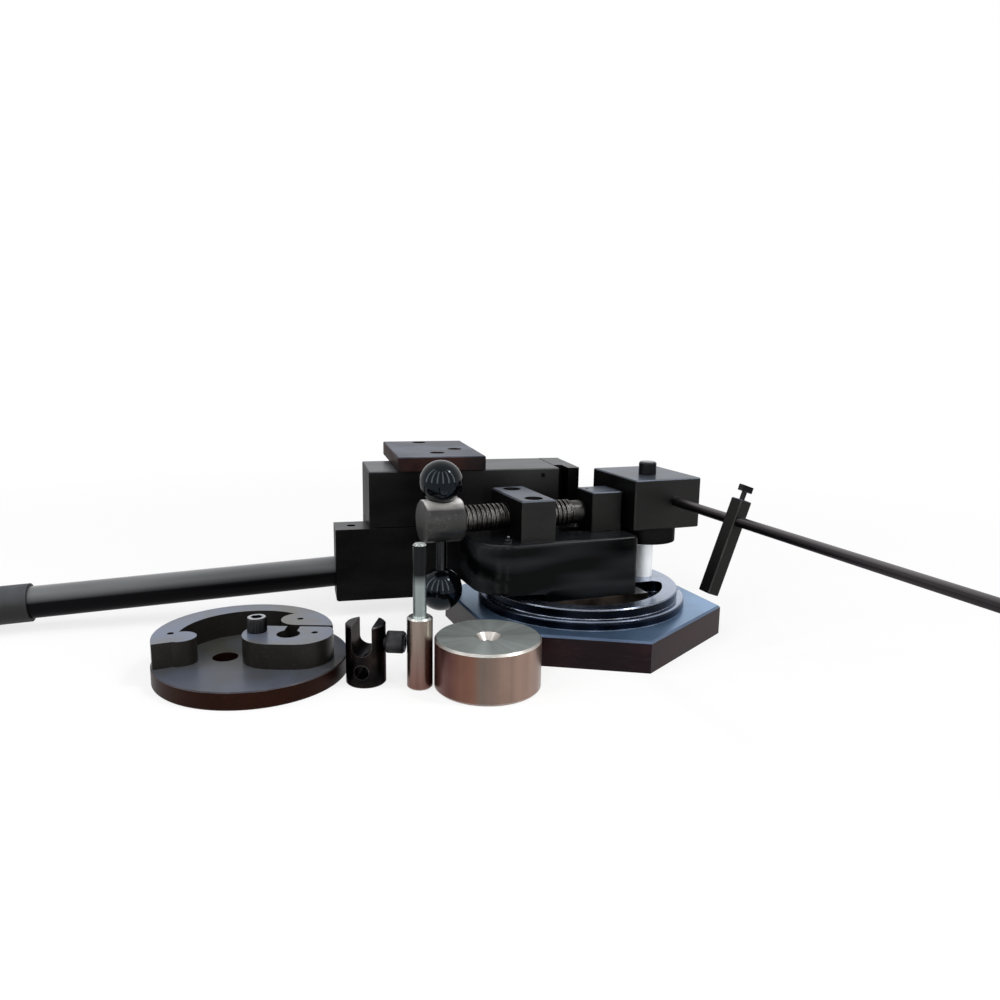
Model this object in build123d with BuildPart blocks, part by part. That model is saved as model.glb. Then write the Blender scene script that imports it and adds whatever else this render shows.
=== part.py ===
from build123d import *

import os
from math import cos, radians, sin, tan

# Manual bar bender: hexagonal base, clamp vice, square die, swinging arm and loose tools.
# Frame: origin at the centre of the base's underside, +Z up, +X along the clamp screw
# towards the die, -Y towards the operator. Sizes are in millimetres.

os.makedirs("parts", exist_ok=True)

# Fits
slide_gap = 0.3  # between faces that move past each other
run_fit = 0.05  # radial, on round fits that turn or slide
seat_fit = 0.02  # radial, on pressed and screwed fits
bolt_clearance = 0.5  # radial, round a bolt that only passes through
cap_socket_ratio = 0.45  # corner radius of a hexagon socket over the shank's diameter
grub_socket_ratio = 0.28

# Hexagonal base, with corners on the Y axis
base_corner_r = 150.0
base_height = 31.0
base_chamfer = 2.0
bench_hole_d = 12.0
bench_hole_depth = 22.0
bench_hole_pcd = 244.0

# Stepped round deck with a recess for the vice's foot
deck_flange_r = 111.0
deck_flange_h = 9.0
deck_flange_edge_r = 3.0
deck_r = 103.5
deck_h = 18.6
deck_edge = 1.0
deck_recess_r = 88.0
deck_recess_depth = 12.0
pin_pad_left = 53.0
pin_pad_width = 50.0
pin_pad_corner_r = 8.0
index_hole_d = 4.0
index_hole_angle = -18.0

# Foot plate under the vice body
foot_left = 65.0
foot_width = 108.0
foot_h = 9.0
foot_pad_gap = 0.5

# Bolts that clamp base, deck, foot and body together
main_bolt_d = 10.0
main_bolt_head_d = 16.0
main_bolt_head_h = 10.0
main_bolt_recess = 12.0
main_bolt_pitch_x = 60.0
main_bolt_pitch_y = 72.0
main_bolt_grip = 34.0  # length inside the body

# Vice body
body_h = 61.4
body_ball_gap = 1.0  # left end from the balls' path, with the jaw closed
body_width = 104.0
body_nose_r = 34.0
body_corner_r = 8.0
body_edge_r = 4.0
body_overhang_rise = 9.0
body_tail_h = 50.0
hub_clear = 3.0  # from the body's end face to the arm's hub

# Jaw and its guide
jaw_length = 35.0
jaw_width = 38.0
jaw_h = 41.7
jaw_opening = 5.0  # between jaw and die at rest
jaw_travel = 26.0
jaw_edge = 1.0
tongue_width = 17.4
tongue_depth = 9.2
tongue_inset = 2.0
jaw_pin_d = 4.0
jaw_pin_top_inset = 1.0

# Nut block
nut_x = -70.5
nut_length = 37.0
nut_width = 86.0
nut_h = 42.0
nut_edge = 1.5
nut_bolt_d = 12.0
nut_bolt_head_d = 18.0
nut_bolt_head_h = 12.0
nut_bolt_pitch = 58.0
nut_bolt_seat = 14.0  # height of the head's seat above the body
nut_bolt_grip = 28.0

# Clamp screw
screw_rise = 19.0  # axis above the body's top
screw_d = 28.0
screw_nose_d = 25.0
screw_nose_length = 18.0
screw_nose_round = 7.0
screw_tip_d = 14.0
screw_tip_length = 11.0
screw_groove_d = 10.0
screw_groove_start = 4.0
screw_tail_d = 18.0

# Crank hub, sliding bar and balls
hub_d = 44.0
hub_length = 42.0
hub_standoff = 49.0  # from the nut block's face
hub_end_wall = 4.0
hub_edge_r = 3.0
tommy_d = 12.0
tommy_ball_d = 44.0
tommy_ball_pitch = 110.7
ball_seat_depth = 5.0  # hollow in the hub's top for the upper ball
tommy_thread = 14.0  # bar inside each ball

# Grease nipple on the body's top
nipple_x = -100.0
nipple_inset = 16.0  # from the body's front face
nipple_d = 6.0
nipple_hex_r = 4.0
nipple_hex_h = 3.0
nipple_ball_r = 2.4
nipple_depth = 8.0

# Pivot pin and square die
pivot_x = 78.0
pivot_column_d = 20.0
pivot_d = 16.0
pivot_thread_d = 12.0
pivot_thread_h = 10.0
washer_h = 1.7
washer_d = 28.0
die_reach_left = 36.0
die_reach_right = 44.0
die_reach_front = 38.0
die_reach_back = 58.0
die_h = 54.0
die_edge = 1.2
die_rise = 2.0  # underside above the body's top
die_cap_d = 19.0
die_cap_h = 14.0
die_cap_edge = 1.5
key_width = 5.0
key_length = 30.0

# Length gauge
rod_d = 10.0
rod_offset = 13.0
rod_rise = 29.5  # axis above the die's underside
rod_socket = 27.0
rod_reach = 460.0
rod_edge = 0.8
rod_screw_d = 6.0
rod_screw_inset = 3.0
rod_screw_depth = 13.0  # axis behind the die's front face
stop_width = 12.5
stop_thickness = 16.0
stop_above = 21.0
stop_below = 74.0
stop_tilt = 19.5
stop_distance = 102.0  # from the die's front face
stop_edge = 0.8
stop_screw_d = 5.0
stop_screw_proud = 8.0
stop_head_length = 16.0
stop_head_width = 6.0
stop_head_h = 6.0

# Bending arm
arm_rest_angle = -7.5
arm_hub_r = 33.0
arm_hub_h = 17.7
bush_wall = 4.0
arm_drop = 10.0  # beam's top below the hub's top
beam_h = 15.2
neck_end = 8.0
neck_reach = 44.0
bar_overhang = 37.0
bar_length = 140.0
bar_depth = 42.0
bar_h = 81.7
bar_relief_length = 29.0  # cut away below the bar's right end, to pass over the base
bar_relief_h = 16.0
bar_edge = 2.0
wing_offset = 64.0  # front face from the pivot's axis
wing_nose_back = 56.0  # nose from the pivot's axis
wing_length = 242.0
wing_depth = 86.0
wing_h = 63.3
wing_edge = 1.2
wing_bolt_d = 10.0
wing_bolt_head_d = 16.0
wing_bolt_head_h = 10.0
wing_bolt_inset = 45.0
wing_bolt_pitch_x = 55.0
wing_bolt_pitch_y = 34.0
wing_bolt_grip = 28.0
nose_length = 24.0
nose_lip = 14.0
nose_slot_depth = 25.0
nose_edge_r = 3.0
nose_screw_d = 8.0
nose_screw_head_d = 13.0
nose_screw_head_h = 8.0
nose_screw_pitch = 32.0
nose_screw_grip = 24.0
wing_grub_d = 6.0
wing_grub_inset = 20.0
wing_grub_drop = 8.0
wing_grub_depth = 14.0

# Drilled plate on top of the wing
top_plate_length = 98.0
top_plate_depth = 150.0
top_plate_h = 16.5
top_plate_inset = 31.0
top_plate_overhang = 7.5
top_plate_edge = 1.0
top_plate_hole_d = 17.0
top_plate_hole_x = 43.0  # from the plate's left end
top_plate_hole_inset = 14.0  # from the plate's back edge
top_screw_d = 10.0
top_screw_head_d = 16.0
top_screw_head_h = 10.0
top_screw_recess = 11.5
top_screw_grip = 20.0
top_screw_pitch_x = 26.0
top_screw_pitch_y = 31.0

# Handle
handle_d = 33.7
handle_wall = 3.2
handle_droop = 3.3
handle_rise = 30.1  # axis above the bar's underside, at its end face
handle_socket = 62.0
handle_reach = 437.0
grip_d = 40.0
grip_length = 130.0
grip_end_wall = 5.0
grip_edge_r = 4.0
handle_grub_d = 10.0
handle_grub_inset = 2.0

# Loose tools on the floor in front of the base, each set off from the one before
tool_pin_d = 23.0
tool_pin_h = 65.5
tool_spindle_d = 12.0
tool_spindle_h = 66.0
tool_edge = 1.5
tool_pin_gap = 1.2
tool_pin_bearing = 163.5
roller_d = 96.0
roller_h = 46.0
roller_edge = 1.8
roller_bore_edge = 6.0
roller_gap = 6.0  # from the base's front left side
roller_shift = 71.2  # along that side, from its middle
holder_d = 36.0
holder_h = 56.0
holder_turn = -26.0
holder_edge = 1.2
fork_slot_width = 18.0
fork_seat_z = 38.5  # axis of the slot's round bottom, and of the bolt
holder_hole_d = 13.0
holder_hole_z = 15.0
holder_bolt_d = 12.0
holder_bolt_head_d = 20.0
holder_bolt_head_h = 16.5
holder_bolt_edge_r = 1.5
holder_bolt_standoff = 1.5
holder_bolt_gap = 2.6  # from the bolt's end to the tool pin
holder_bolt_side = 5.6  # from the bolt's axis to the tool pin's

# Scroll die
scroll_gap = 5.0  # from the bolt holder
scroll_bearing = 148.3
scroll_turn = -21.5
scroll_disc_r = 87.5
scroll_disc_h = 16.5
scroll_disc_edge = 1.0
scroll_h = 23.5
scroll_rim_r = 80.0
scroll_rim_centre = (-5.5, -3.0)
scroll_inner_r = 62.0
scroll_inner_centre = (-1.5, -5.0)
scroll_gate_angle = 208.0
scroll_gate_y = 16.0
start_lobe_r = 14.0
start_lobe = (-57.5, -20.7)
end_lobe_r = 18.0
end_lobe_x = 37.5
heart_r = 31.0
heart_left = 25.5
heart_right = 45.5
heart_y = -6.0
heart_top = 12.0
keyhole_r = 10.5
keyhole = (36.5, -9.0)
keyhole_mouth = 12.0
disc_hole = (-22.0, -8.0)
scroll_screw_d = 12.0
scroll_screw_head_d = 18.0
scroll_screw_head_h = 14.0
scroll_screw_grip = 13.0
scroll_screw_at = (6.5, -3.0)
dowel_d = 6.0
dowel_grip = 11.0
dowel_drop = 4.0
heart_dowel = (59.5, -4.0)
start_dowel = (-69.3, -12.7)

# Levels
base_top = base_height
deck_top = base_top + deck_h
recess_floor = deck_top - deck_recess_depth
foot_top = recess_floor + foot_h
body_top = foot_top + body_h
screw_z = body_top + screw_rise
die_bottom = body_top + die_rise
die_top = die_bottom + die_h
arm_hub_top = die_bottom - slide_gap
arm_hub_bottom = arm_hub_top - arm_hub_h
washer_top = arm_hub_bottom - slide_gap
pin_shoulder = washer_top - washer_h
beam_top = arm_hub_top - arm_drop
beam_bottom = beam_top - beam_h
bar_bottom = beam_top - bar_h
wing_top = beam_top + wing_h
top_plate_top = wing_top + top_plate_h
rod_z = die_bottom + rod_rise

# Places along the clamp screw
body_right = pivot_x - arm_hub_r - hub_clear
die_left = pivot_x - die_reach_left
jaw_right = die_left - jaw_opening
jaw_left = jaw_right - jaw_length
guide_left = jaw_left - jaw_travel - tongue_inset
nut_left = nut_x - nut_length / 2
hub_right = nut_left - hub_standoff
hub_left = hub_right - hub_length
tommy_x = (hub_left + hub_right) / 2
body_left = tommy_x + tommy_ball_d / 2 + jaw_opening + body_ball_gap
screw_nose_end = jaw_left - slide_gap
screw_thread_end = screw_nose_end - screw_nose_length
groove_x = screw_nose_end + screw_groove_start + jaw_pin_d / 2 + slide_gap
nipple_y = nipple_inset - body_width / 2
jaw_pin_y = (screw_groove_d + jaw_pin_d) / 2 + slide_gap
upper_ball_z = screw_z + (hub_d + tommy_ball_d) / 2 - ball_seat_depth
lower_ball_z = upper_ball_z - tommy_ball_pitch

# Places of the loose tools
base_side = base_corner_r * cos(radians(30))
roller_out = base_side + roller_gap + roller_d / 2
roller_place = Vector(
    -roller_out * sin(radians(30)) - roller_shift * cos(radians(30)),
    -roller_out * cos(radians(30)) + roller_shift * sin(radians(30)),
)
tool_pin_out = (roller_d + tool_pin_d) / 2 + tool_pin_gap
tool_pin_place = roller_place + Vector(tool_pin_out, 0).rotate(Axis.Z, tool_pin_bearing)
holder_bolt_out = holder_d / 2 + holder_bolt_standoff + holder_bolt_head_h
pin_ahead = holder_bolt_out + holder_bolt_gap + tool_pin_d / 2
holder_place = tool_pin_place - Vector(pin_ahead, -holder_bolt_side).rotate(Axis.Z, holder_turn)
scroll_out = scroll_disc_r + holder_d / 2 + scroll_gap
scroll_place = holder_place + Vector(scroll_out, 0).rotate(Axis.Z, scroll_bearing)

# Places along the arm, in its own plane
wing_right = -wing_nose_back
wing_left = wing_right - wing_length
wing_main_right = wing_right - nose_length
wing_back = wing_offset + wing_depth
wing_mid_y = wing_offset + wing_depth / 2
wing_bolt_y = wing_bolt_pitch_y / 2
bar_left = wing_left - bar_overhang
bar_right = bar_left + bar_length
handle_y = wing_offset + bar_depth / 2
top_plate_left = wing_left + top_plate_inset
top_plate_front = wing_offset - top_plate_overhang

arm = Plane(
    origin=(pivot_x, 0, 0),
    x_dir=(cos(radians(arm_rest_angle)), sin(radians(arm_rest_angle)), 0),
    z_dir=(0, 0, 1),
)
arm_back = arm.y_dir
handle_axis = Plane(
    origin=arm.from_local_coords(Vector(bar_left, handle_y, bar_bottom + handle_rise)),
    x_dir=arm_back,
    z_dir=arm.x_dir * -cos(radians(handle_droop)) + Vector(0, 0, -sin(radians(handle_droop))),
)
screw_axis = Plane(origin=(0, 0, screw_z), x_dir=(0, 1, 0), z_dir=(1, 0, 0))
rod_axis = Plane(
    origin=(pivot_x + rod_offset, -die_reach_front, rod_z), x_dir=(1, 0, 0), z_dir=(0, -1, 0)
)
stop = Plane(
    origin=(pivot_x + rod_offset, -die_reach_front - stop_distance, rod_z),
    x_dir=(cos(radians(stop_tilt)), 0, -sin(radians(stop_tilt))),
    z_dir=(sin(radians(stop_tilt)), 0, cos(radians(stop_tilt))),
)
scroll = Plane(
    origin=scroll_place,
    x_dir=(cos(radians(scroll_turn)), sin(radians(scroll_turn)), 0),
    z_dir=(0, 0, 1),
)
holder = Plane(
    origin=holder_place,
    x_dir=(cos(radians(holder_turn)), sin(radians(holder_turn)), 0),
    z_dir=(0, 0, 1),
)
tool_stand = Plane(origin=tool_pin_place)
roller_stand = Plane(origin=roller_place)


def save(piece, name):
    """Label one finished piece and write it as its own file."""
    piece.part.label = name
    export_step(piece.part, f"parts/{name}.step")


def span(x0, y0, x1, y1, mode=Mode.ADD):
    """Rectangle between two corners, in the current sketch."""
    with Locations(((x0 + x1) / 2, (y0 + y1) / 2)):
        Rectangle(x1 - x0, y1 - y0, mode=mode)


def upward(points, height):
    """Level planes at the given points, facing up."""
    return [Plane(origin=(x, y, height)) for x, y in points]


def socket_screws(seats, shank_d, length, head_d, head_h):
    """Cap screws with a hexagon socket, one on each seat plane."""
    with BuildPart() as screws:
        with BuildSketch(*seats):
            Circle(head_d / 2)
        extrude(amount=head_h)
        with BuildSketch(*seats):
            Circle(shank_d / 2)
        extrude(amount=-length)
        with BuildSketch(*[seat.offset(head_h) for seat in seats]):
            RegularPolygon(shank_d * cap_socket_ratio, 6)
        extrude(amount=-head_h / 2, mode=Mode.SUBTRACT)
    return screws


def grub_screw(end, shank_d, length):
    """Headless screw that runs from its socketed end plane inwards."""
    with BuildPart() as screw:
        with BuildSketch(end):
            Circle(shank_d / 2)
        extrude(amount=-length)
        with BuildSketch(end):
            RegularPolygon(shank_d * grub_socket_ratio, 6)
        extrude(amount=-shank_d / 2, mode=Mode.SUBTRACT)
    return screw


def main_bolt_grid():
    """Centres of the four bolts that clamp the body down."""
    return GridLocations(main_bolt_pitch_x, main_bolt_pitch_y, 2, 2)


# Base and deck
main_bolt_hole_r = main_bolt_d / 2 + bolt_clearance

with BuildPart() as base_plate:
    with BuildSketch():
        RegularPolygon(base_corner_r, 6, rotation=30)
    extrude(amount=base_height)
    chamfer(base_plate.faces().sort_by(Axis.Z)[-1].edges(), base_chamfer)
    with BuildSketch():
        with PolarLocations(bench_hole_pcd / 2, 6, start_angle=30):
            Circle(bench_hole_d / 2)
    extrude(amount=bench_hole_depth, mode=Mode.SUBTRACT)
    with BuildSketch():
        with main_bolt_grid():
            Circle(main_bolt_hole_r)
    extrude(amount=base_height, mode=Mode.SUBTRACT)
    with BuildSketch():
        with main_bolt_grid():
            Circle(main_bolt_head_d / 2 + bolt_clearance)
    extrude(amount=main_bolt_recess, mode=Mode.SUBTRACT)
save(base_plate, "base_plate")

index_hole_r = (deck_r + deck_flange_r) / 2
index_angle = radians(index_hole_angle)

with BuildPart() as deck_ring:
    with BuildSketch(Plane.XY.offset(base_top)):
        Circle(deck_flange_r)
    extrude(amount=deck_flange_h)
    fillet(deck_ring.faces().sort_by(Axis.Z)[-1].edges(), deck_flange_edge_r)
    with BuildSketch(Plane.XY.offset(base_top + deck_flange_h)):
        Circle(deck_r)
    extrude(amount=deck_h - deck_flange_h)
    chamfer(deck_ring.faces().sort_by(Axis.Z)[-1].edges(), deck_edge)
    with BuildSketch(Plane.XY.offset(recess_floor)) as recess:
        Circle(deck_recess_r)
        span(pin_pad_left, -pin_pad_width / 2, deck_r, pin_pad_width / 2, mode=Mode.SUBTRACT)
        fillet(recess.vertices(), pin_pad_corner_r)
    extrude(amount=deck_recess_depth, mode=Mode.SUBTRACT)
    with BuildSketch(Plane.XY.offset(base_top)):
        with main_bolt_grid():
            Circle(main_bolt_hole_r)
        with Locations((pivot_x, 0)):
            Circle(pivot_column_d / 2 + seat_fit)
        with Locations((index_hole_r * cos(index_angle), index_hole_r * sin(index_angle))):
            Circle(index_hole_d / 2)
    extrude(amount=deck_h, mode=Mode.SUBTRACT)
save(deck_ring, "deck_ring")

with BuildPart() as foot_plate:
    with BuildSketch(Plane.XY.offset(recess_floor)):
        span(-foot_left, -foot_width / 2, pin_pad_left - foot_pad_gap, foot_width / 2)
        with main_bolt_grid():
            Circle(main_bolt_hole_r, mode=Mode.SUBTRACT)
    extrude(amount=foot_h)
save(foot_plate, "foot_plate")

main_bolt_seats = [
    Plane(
        origin=(sx * main_bolt_pitch_x / 2, sy * main_bolt_pitch_y / 2, main_bolt_recess),
        x_dir=(1, 0, 0),
        z_dir=(0, 0, -1),
    )
    for sx in (-1, 1)
    for sy in (-1, 1)
]
main_bolt_length = foot_top + main_bolt_grip - main_bolt_recess
main_bolts = socket_screws(
    main_bolt_seats, main_bolt_d, main_bolt_length, main_bolt_head_d, main_bolt_head_h
)
save(main_bolts, "main_bolts")

# Vice body, seen from the side as one outline
body_tail_z = body_top - body_tail_h
nut_bolt_points = [(nut_x, side * nut_bolt_pitch / 2) for side in (-1, 1)]
nut_bolt_bottom = body_top - nut_bolt_grip

with BuildPart() as vise_body:
    with BuildSketch(Plane.XZ.offset(-body_width / 2)):
        with BuildLine():
            Polyline(
                (body_right, foot_top),
                (body_right, body_top),
                (body_left, body_top),
                (body_left, body_tail_z),
                (-foot_left, foot_top + body_overhang_rise),
                (-foot_left, foot_top),
                close=True,
            )
        make_face()
    extrude(amount=body_width)
    upright = vise_body.edges().filter_by(Axis.Z)
    fillet(upright.group_by(Axis.X)[0], body_nose_r)
    fillet(vise_body.edges().filter_by(Axis.Z).group_by(Axis.X)[-1], body_corner_r)
    fillet(vise_body.faces().sort_by(Axis.Z)[-1].edges(), body_edge_r)
    with BuildSketch(Plane.XY.offset(body_top - tongue_depth - slide_gap)):
        span(
            guide_left,
            -tongue_width / 2 - slide_gap,
            body_right,
            tongue_width / 2 + slide_gap,
        )
    extrude(amount=tongue_depth + slide_gap, mode=Mode.SUBTRACT)
    with BuildSketch(Plane.XY.offset(foot_top)):
        with main_bolt_grid():
            Circle(main_bolt_d / 2 + seat_fit)
    extrude(amount=main_bolt_grip, mode=Mode.SUBTRACT)
    with BuildSketch(Plane.XY.offset(nut_bolt_bottom)):
        with Locations(*nut_bolt_points):
            Circle(nut_bolt_d / 2 + seat_fit)
    extrude(amount=nut_bolt_grip, mode=Mode.SUBTRACT)
    with BuildSketch(Plane.XY.offset(body_top - nipple_depth)):
        with Locations((nipple_x, nipple_y)):
            Circle(nipple_d / 2 + seat_fit)
    extrude(amount=nipple_depth, mode=Mode.SUBTRACT)
save(vise_body, "vise_body")

with BuildPart() as grease_nipple:
    with BuildSketch(*upward([(nipple_x, nipple_y)], body_top)):
        RegularPolygon(nipple_hex_r, 6)
    extrude(amount=nipple_hex_h)
    with BuildSketch(*upward([(nipple_x, nipple_y)], body_top)):
        Circle(nipple_d / 2)
    extrude(amount=-nipple_depth)
    with Locations((nipple_x, nipple_y, body_top + nipple_hex_h + nipple_ball_r / 2)):
        Sphere(nipple_ball_r)
save(grease_nipple, "grease_nipple")

# Nut block with its two deep bolts
with BuildPart() as nut_block:
    with BuildSketch(Plane.XY.offset(body_top)):
        with Locations((nut_x, 0)):
            Rectangle(nut_length, nut_width)
    extrude(amount=nut_h)
    chamfer(nut_block.faces().sort_by(Axis.Z)[-1].edges(), nut_edge)
    with BuildSketch(screw_axis.offset(nut_left)):
        Circle(screw_d / 2 + run_fit)
    extrude(amount=nut_length, mode=Mode.SUBTRACT)
    with BuildSketch(Plane.XY.offset(body_top)):
        with Locations(*nut_bolt_points):
            Circle(nut_bolt_d / 2 + bolt_clearance)
    extrude(amount=nut_h, mode=Mode.SUBTRACT)
    with BuildSketch(Plane.XY.offset(body_top + nut_bolt_seat)):
        with Locations(*nut_bolt_points):
            Circle(nut_bolt_head_d / 2 + bolt_clearance)
    extrude(amount=nut_h - nut_bolt_seat, mode=Mode.SUBTRACT)
save(nut_block, "nut_block")

nut_bolts = socket_screws(
    upward(nut_bolt_points, body_top + nut_bolt_seat),
    nut_bolt_d,
    nut_bolt_seat + nut_bolt_grip,
    nut_bolt_head_d,
    nut_bolt_head_h,
)
save(nut_bolts, "nut_bolts")

# Jaw, held on the screw's tip by a cross pin
jaw_bottom = body_top + slide_gap
jaw_top = jaw_bottom + jaw_h
jaw_bore_r = screw_tip_d / 2 + run_fit
jaw_pin_bottom = screw_z - screw_tip_d
jaw_pin_length = jaw_top - jaw_pin_top_inset - jaw_pin_bottom

with BuildPart() as jaw_block:
    with BuildSketch(Plane.XY.offset(jaw_bottom)):
        span(jaw_left, -jaw_width / 2, jaw_right, jaw_width / 2)
    extrude(amount=jaw_h)
    chamfer(jaw_block.edges().filter_by(Axis.Z), jaw_edge)
    chamfer(jaw_block.faces().sort_by(Axis.Z)[-1].edges(), jaw_edge)
    with BuildSketch(Plane.XY.offset(body_top - tongue_depth)):
        span(
            jaw_left + tongue_inset,
            -tongue_width / 2,
            jaw_right - tongue_inset,
            tongue_width / 2,
        )
    extrude(amount=tongue_depth + slide_gap)
    with BuildSketch(screw_axis.offset(jaw_left)):
        Circle(jaw_bore_r)
    extrude(amount=screw_tip_length + run_fit, mode=Mode.SUBTRACT)
    with BuildSketch(Plane.XY.offset(jaw_pin_bottom)):
        with Locations((groove_x, jaw_pin_y)):
            Circle(jaw_pin_d / 2 + seat_fit)
    extrude(amount=jaw_top - jaw_pin_bottom, mode=Mode.SUBTRACT)
save(jaw_block, "jaw_block")

with BuildPart() as jaw_pin:
    with BuildSketch(Plane.XY.offset(jaw_pin_bottom)):
        with Locations((groove_x, jaw_pin_y)):
            Circle(jaw_pin_d / 2)
    extrude(amount=jaw_pin_length)
save(jaw_pin, "jaw_pin")

# Clamp screw, hub, sliding bar and balls
screw_tail_start = hub_left + hub_end_wall
groove_width = jaw_pin_d + 2 * slide_gap
tommy_hole_r = tommy_d / 2 + run_fit

with BuildPart() as clamp_screw:
    with BuildSketch(screw_axis.offset(screw_tail_start)):
        Circle(screw_tail_d / 2)
    extrude(amount=hub_right - screw_tail_start)
    with BuildSketch(screw_axis.offset(hub_right)):
        Circle(screw_d / 2)
    extrude(amount=screw_thread_end - hub_right)
    with BuildSketch(screw_axis.offset(screw_thread_end)):
        Circle(screw_nose_d / 2)
    extrude(amount=screw_nose_length)
    fillet(clamp_screw.faces().sort_by(Axis.X)[-1].edges(), screw_nose_round)
    with BuildSketch(screw_axis.offset(screw_nose_end)):
        Circle(screw_tip_d / 2)
    extrude(amount=screw_tip_length)
    with BuildSketch(screw_axis.offset(screw_nose_end + screw_groove_start)):
        Circle(screw_tip_d / 2)
        Circle(screw_groove_d / 2, mode=Mode.SUBTRACT)
    extrude(amount=groove_width, mode=Mode.SUBTRACT)
    with BuildSketch(Plane(origin=(tommy_x, 0, screw_z - screw_tail_d))):
        Circle(tommy_hole_r)
    extrude(amount=2 * screw_tail_d, mode=Mode.SUBTRACT)
save(clamp_screw, "clamp_screw")

with BuildPart() as crank_hub:
    with BuildSketch(screw_axis.offset(hub_left)):
        Circle(hub_d / 2)
    extrude(amount=hub_length)
    fillet(crank_hub.edges().filter_by(GeomType.CIRCLE), hub_edge_r)
    with BuildSketch(screw_axis.offset(screw_tail_start)):
        Circle(screw_tail_d / 2 + seat_fit)
    extrude(amount=hub_right - screw_tail_start, mode=Mode.SUBTRACT)
    with BuildSketch(Plane(origin=(tommy_x, 0, screw_z - hub_d))):
        Circle(tommy_hole_r)
    extrude(amount=2 * hub_d, mode=Mode.SUBTRACT)
    with Locations((tommy_x, 0, upper_ball_z)):
        Sphere(tommy_ball_d / 2 + slide_gap, mode=Mode.SUBTRACT)
save(crank_hub, "crank_hub")

tommy_start = lower_ball_z + tommy_ball_d / 2 - tommy_thread
tommy_end = upper_ball_z - tommy_ball_d / 2 + tommy_thread

with BuildPart() as tommy_bar:
    with BuildSketch(Plane(origin=(tommy_x, 0, tommy_start))):
        Circle(tommy_d / 2)
    extrude(amount=tommy_end - tommy_start)
save(tommy_bar, "tommy_bar")

for ball_name, ball_z in (("upper", upper_ball_z), ("lower", lower_ball_z)):
    with BuildPart() as tommy_ball:
        with Locations((tommy_x, 0, ball_z)):
            Sphere(tommy_ball_d / 2)
        with BuildSketch(Plane(origin=(tommy_x, 0, tommy_start))):
            Circle(tommy_d / 2 + seat_fit)
        extrude(amount=tommy_end - tommy_start, mode=Mode.SUBTRACT)
    save(tommy_ball, f"tommy_ball_{ball_name}")

# Pivot pin, its washer, and the die keyed to it
pivot_foot = Plane(origin=(pivot_x, 0, 0))
key_bottom = (die_bottom + die_top - key_length) / 2
key_inner = (pivot_d - key_width) / 2

with BuildPart() as pivot_pin:
    with BuildSketch(pivot_foot.offset(base_top)):
        Circle(pivot_column_d / 2)
    extrude(amount=pin_shoulder - base_top)
    with BuildSketch(pivot_foot.offset(pin_shoulder)):
        Circle(pivot_d / 2)
    extrude(amount=die_top - pin_shoulder)
    with BuildSketch(pivot_foot.offset(die_top)):
        Circle(pivot_thread_d / 2)
    extrude(amount=pivot_thread_h)
    with BuildSketch(pivot_foot.offset(key_bottom)):
        span(-key_width / 2 - seat_fit, key_inner - seat_fit, key_width / 2 + seat_fit, pivot_d)
    extrude(amount=key_length, mode=Mode.SUBTRACT)
save(pivot_pin, "pivot_pin")

with BuildPart() as thrust_washer:
    with BuildSketch(pivot_foot.offset(pin_shoulder)):
        Circle(washer_d / 2)
        Circle(pivot_d / 2 + run_fit, mode=Mode.SUBTRACT)
    extrude(amount=washer_h)
save(thrust_washer, "thrust_washer")

with BuildPart() as die_key:
    with BuildSketch(pivot_foot.offset(key_bottom)):
        span(-key_width / 2, key_inner, key_width / 2, key_inner + key_width)
    extrude(amount=key_length)
save(die_key, "die_key")

rod_screw_y = rod_screw_depth - die_reach_front
rod_screw_end = Plane(
    origin=(pivot_x + die_reach_right - rod_screw_inset, rod_screw_y, rod_z),
    x_dir=(0, 1, 0),
    z_dir=(1, 0, 0),
)
rod_screw_length = die_reach_right - rod_screw_inset - rod_offset - rod_d / 2 - slide_gap

with BuildPart() as die_block:
    with BuildSketch(pivot_foot.offset(die_bottom)):
        span(-die_reach_left, -die_reach_front, die_reach_right, die_reach_back)
    extrude(amount=die_h)
    chamfer(die_block.edges(), die_edge)
    with BuildSketch(pivot_foot.offset(die_bottom)):
        Circle(pivot_d / 2 + seat_fit)
    extrude(amount=die_h, mode=Mode.SUBTRACT)
    with BuildSketch(pivot_foot.offset(die_bottom)):
        span(-key_width / 2 - seat_fit, 0, key_width / 2 + seat_fit, key_inner + key_width + seat_fit)
    extrude(amount=die_h, mode=Mode.SUBTRACT)
    with BuildSketch(rod_axis):
        Circle(rod_d / 2 + run_fit)
    extrude(amount=-rod_socket, mode=Mode.SUBTRACT)
    with BuildSketch(rod_screw_end.offset(rod_screw_inset)):
        Circle(rod_screw_d / 2 + seat_fit)
    extrude(amount=-(rod_screw_length + rod_screw_inset + slide_gap), mode=Mode.SUBTRACT)
save(die_block, "die_block")

save(grub_screw(rod_screw_end, rod_screw_d, rod_screw_length), "rod_set_screw")

with BuildPart() as die_cap:
    with BuildSketch(pivot_foot.offset(die_top)):
        Circle(die_cap_d / 2)
    extrude(amount=die_cap_h)
    chamfer(die_cap.faces().sort_by(Axis.Z)[-1].edges(), die_cap_edge)
    with BuildSketch(pivot_foot.offset(die_top)):
        Circle(pivot_thread_d / 2 + seat_fit)
    extrude(amount=pivot_thread_h, mode=Mode.SUBTRACT)
save(die_cap, "die_cap")

# Gauge rod, stop arm and its thumb screw
with BuildPart() as gauge_rod:
    with BuildSketch(rod_axis.offset(slide_gap - rod_socket)):
        Circle(rod_d / 2)
    extrude(amount=rod_socket - slide_gap + rod_reach)
    chamfer(gauge_rod.faces().sort_by(Axis.Y)[0].edges(), rod_edge)
save(gauge_rod, "gauge_rod")

stop_screw_start = rod_d / 2 + slide_gap
stop_head_bottom = stop_above + stop_screw_proud

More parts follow.
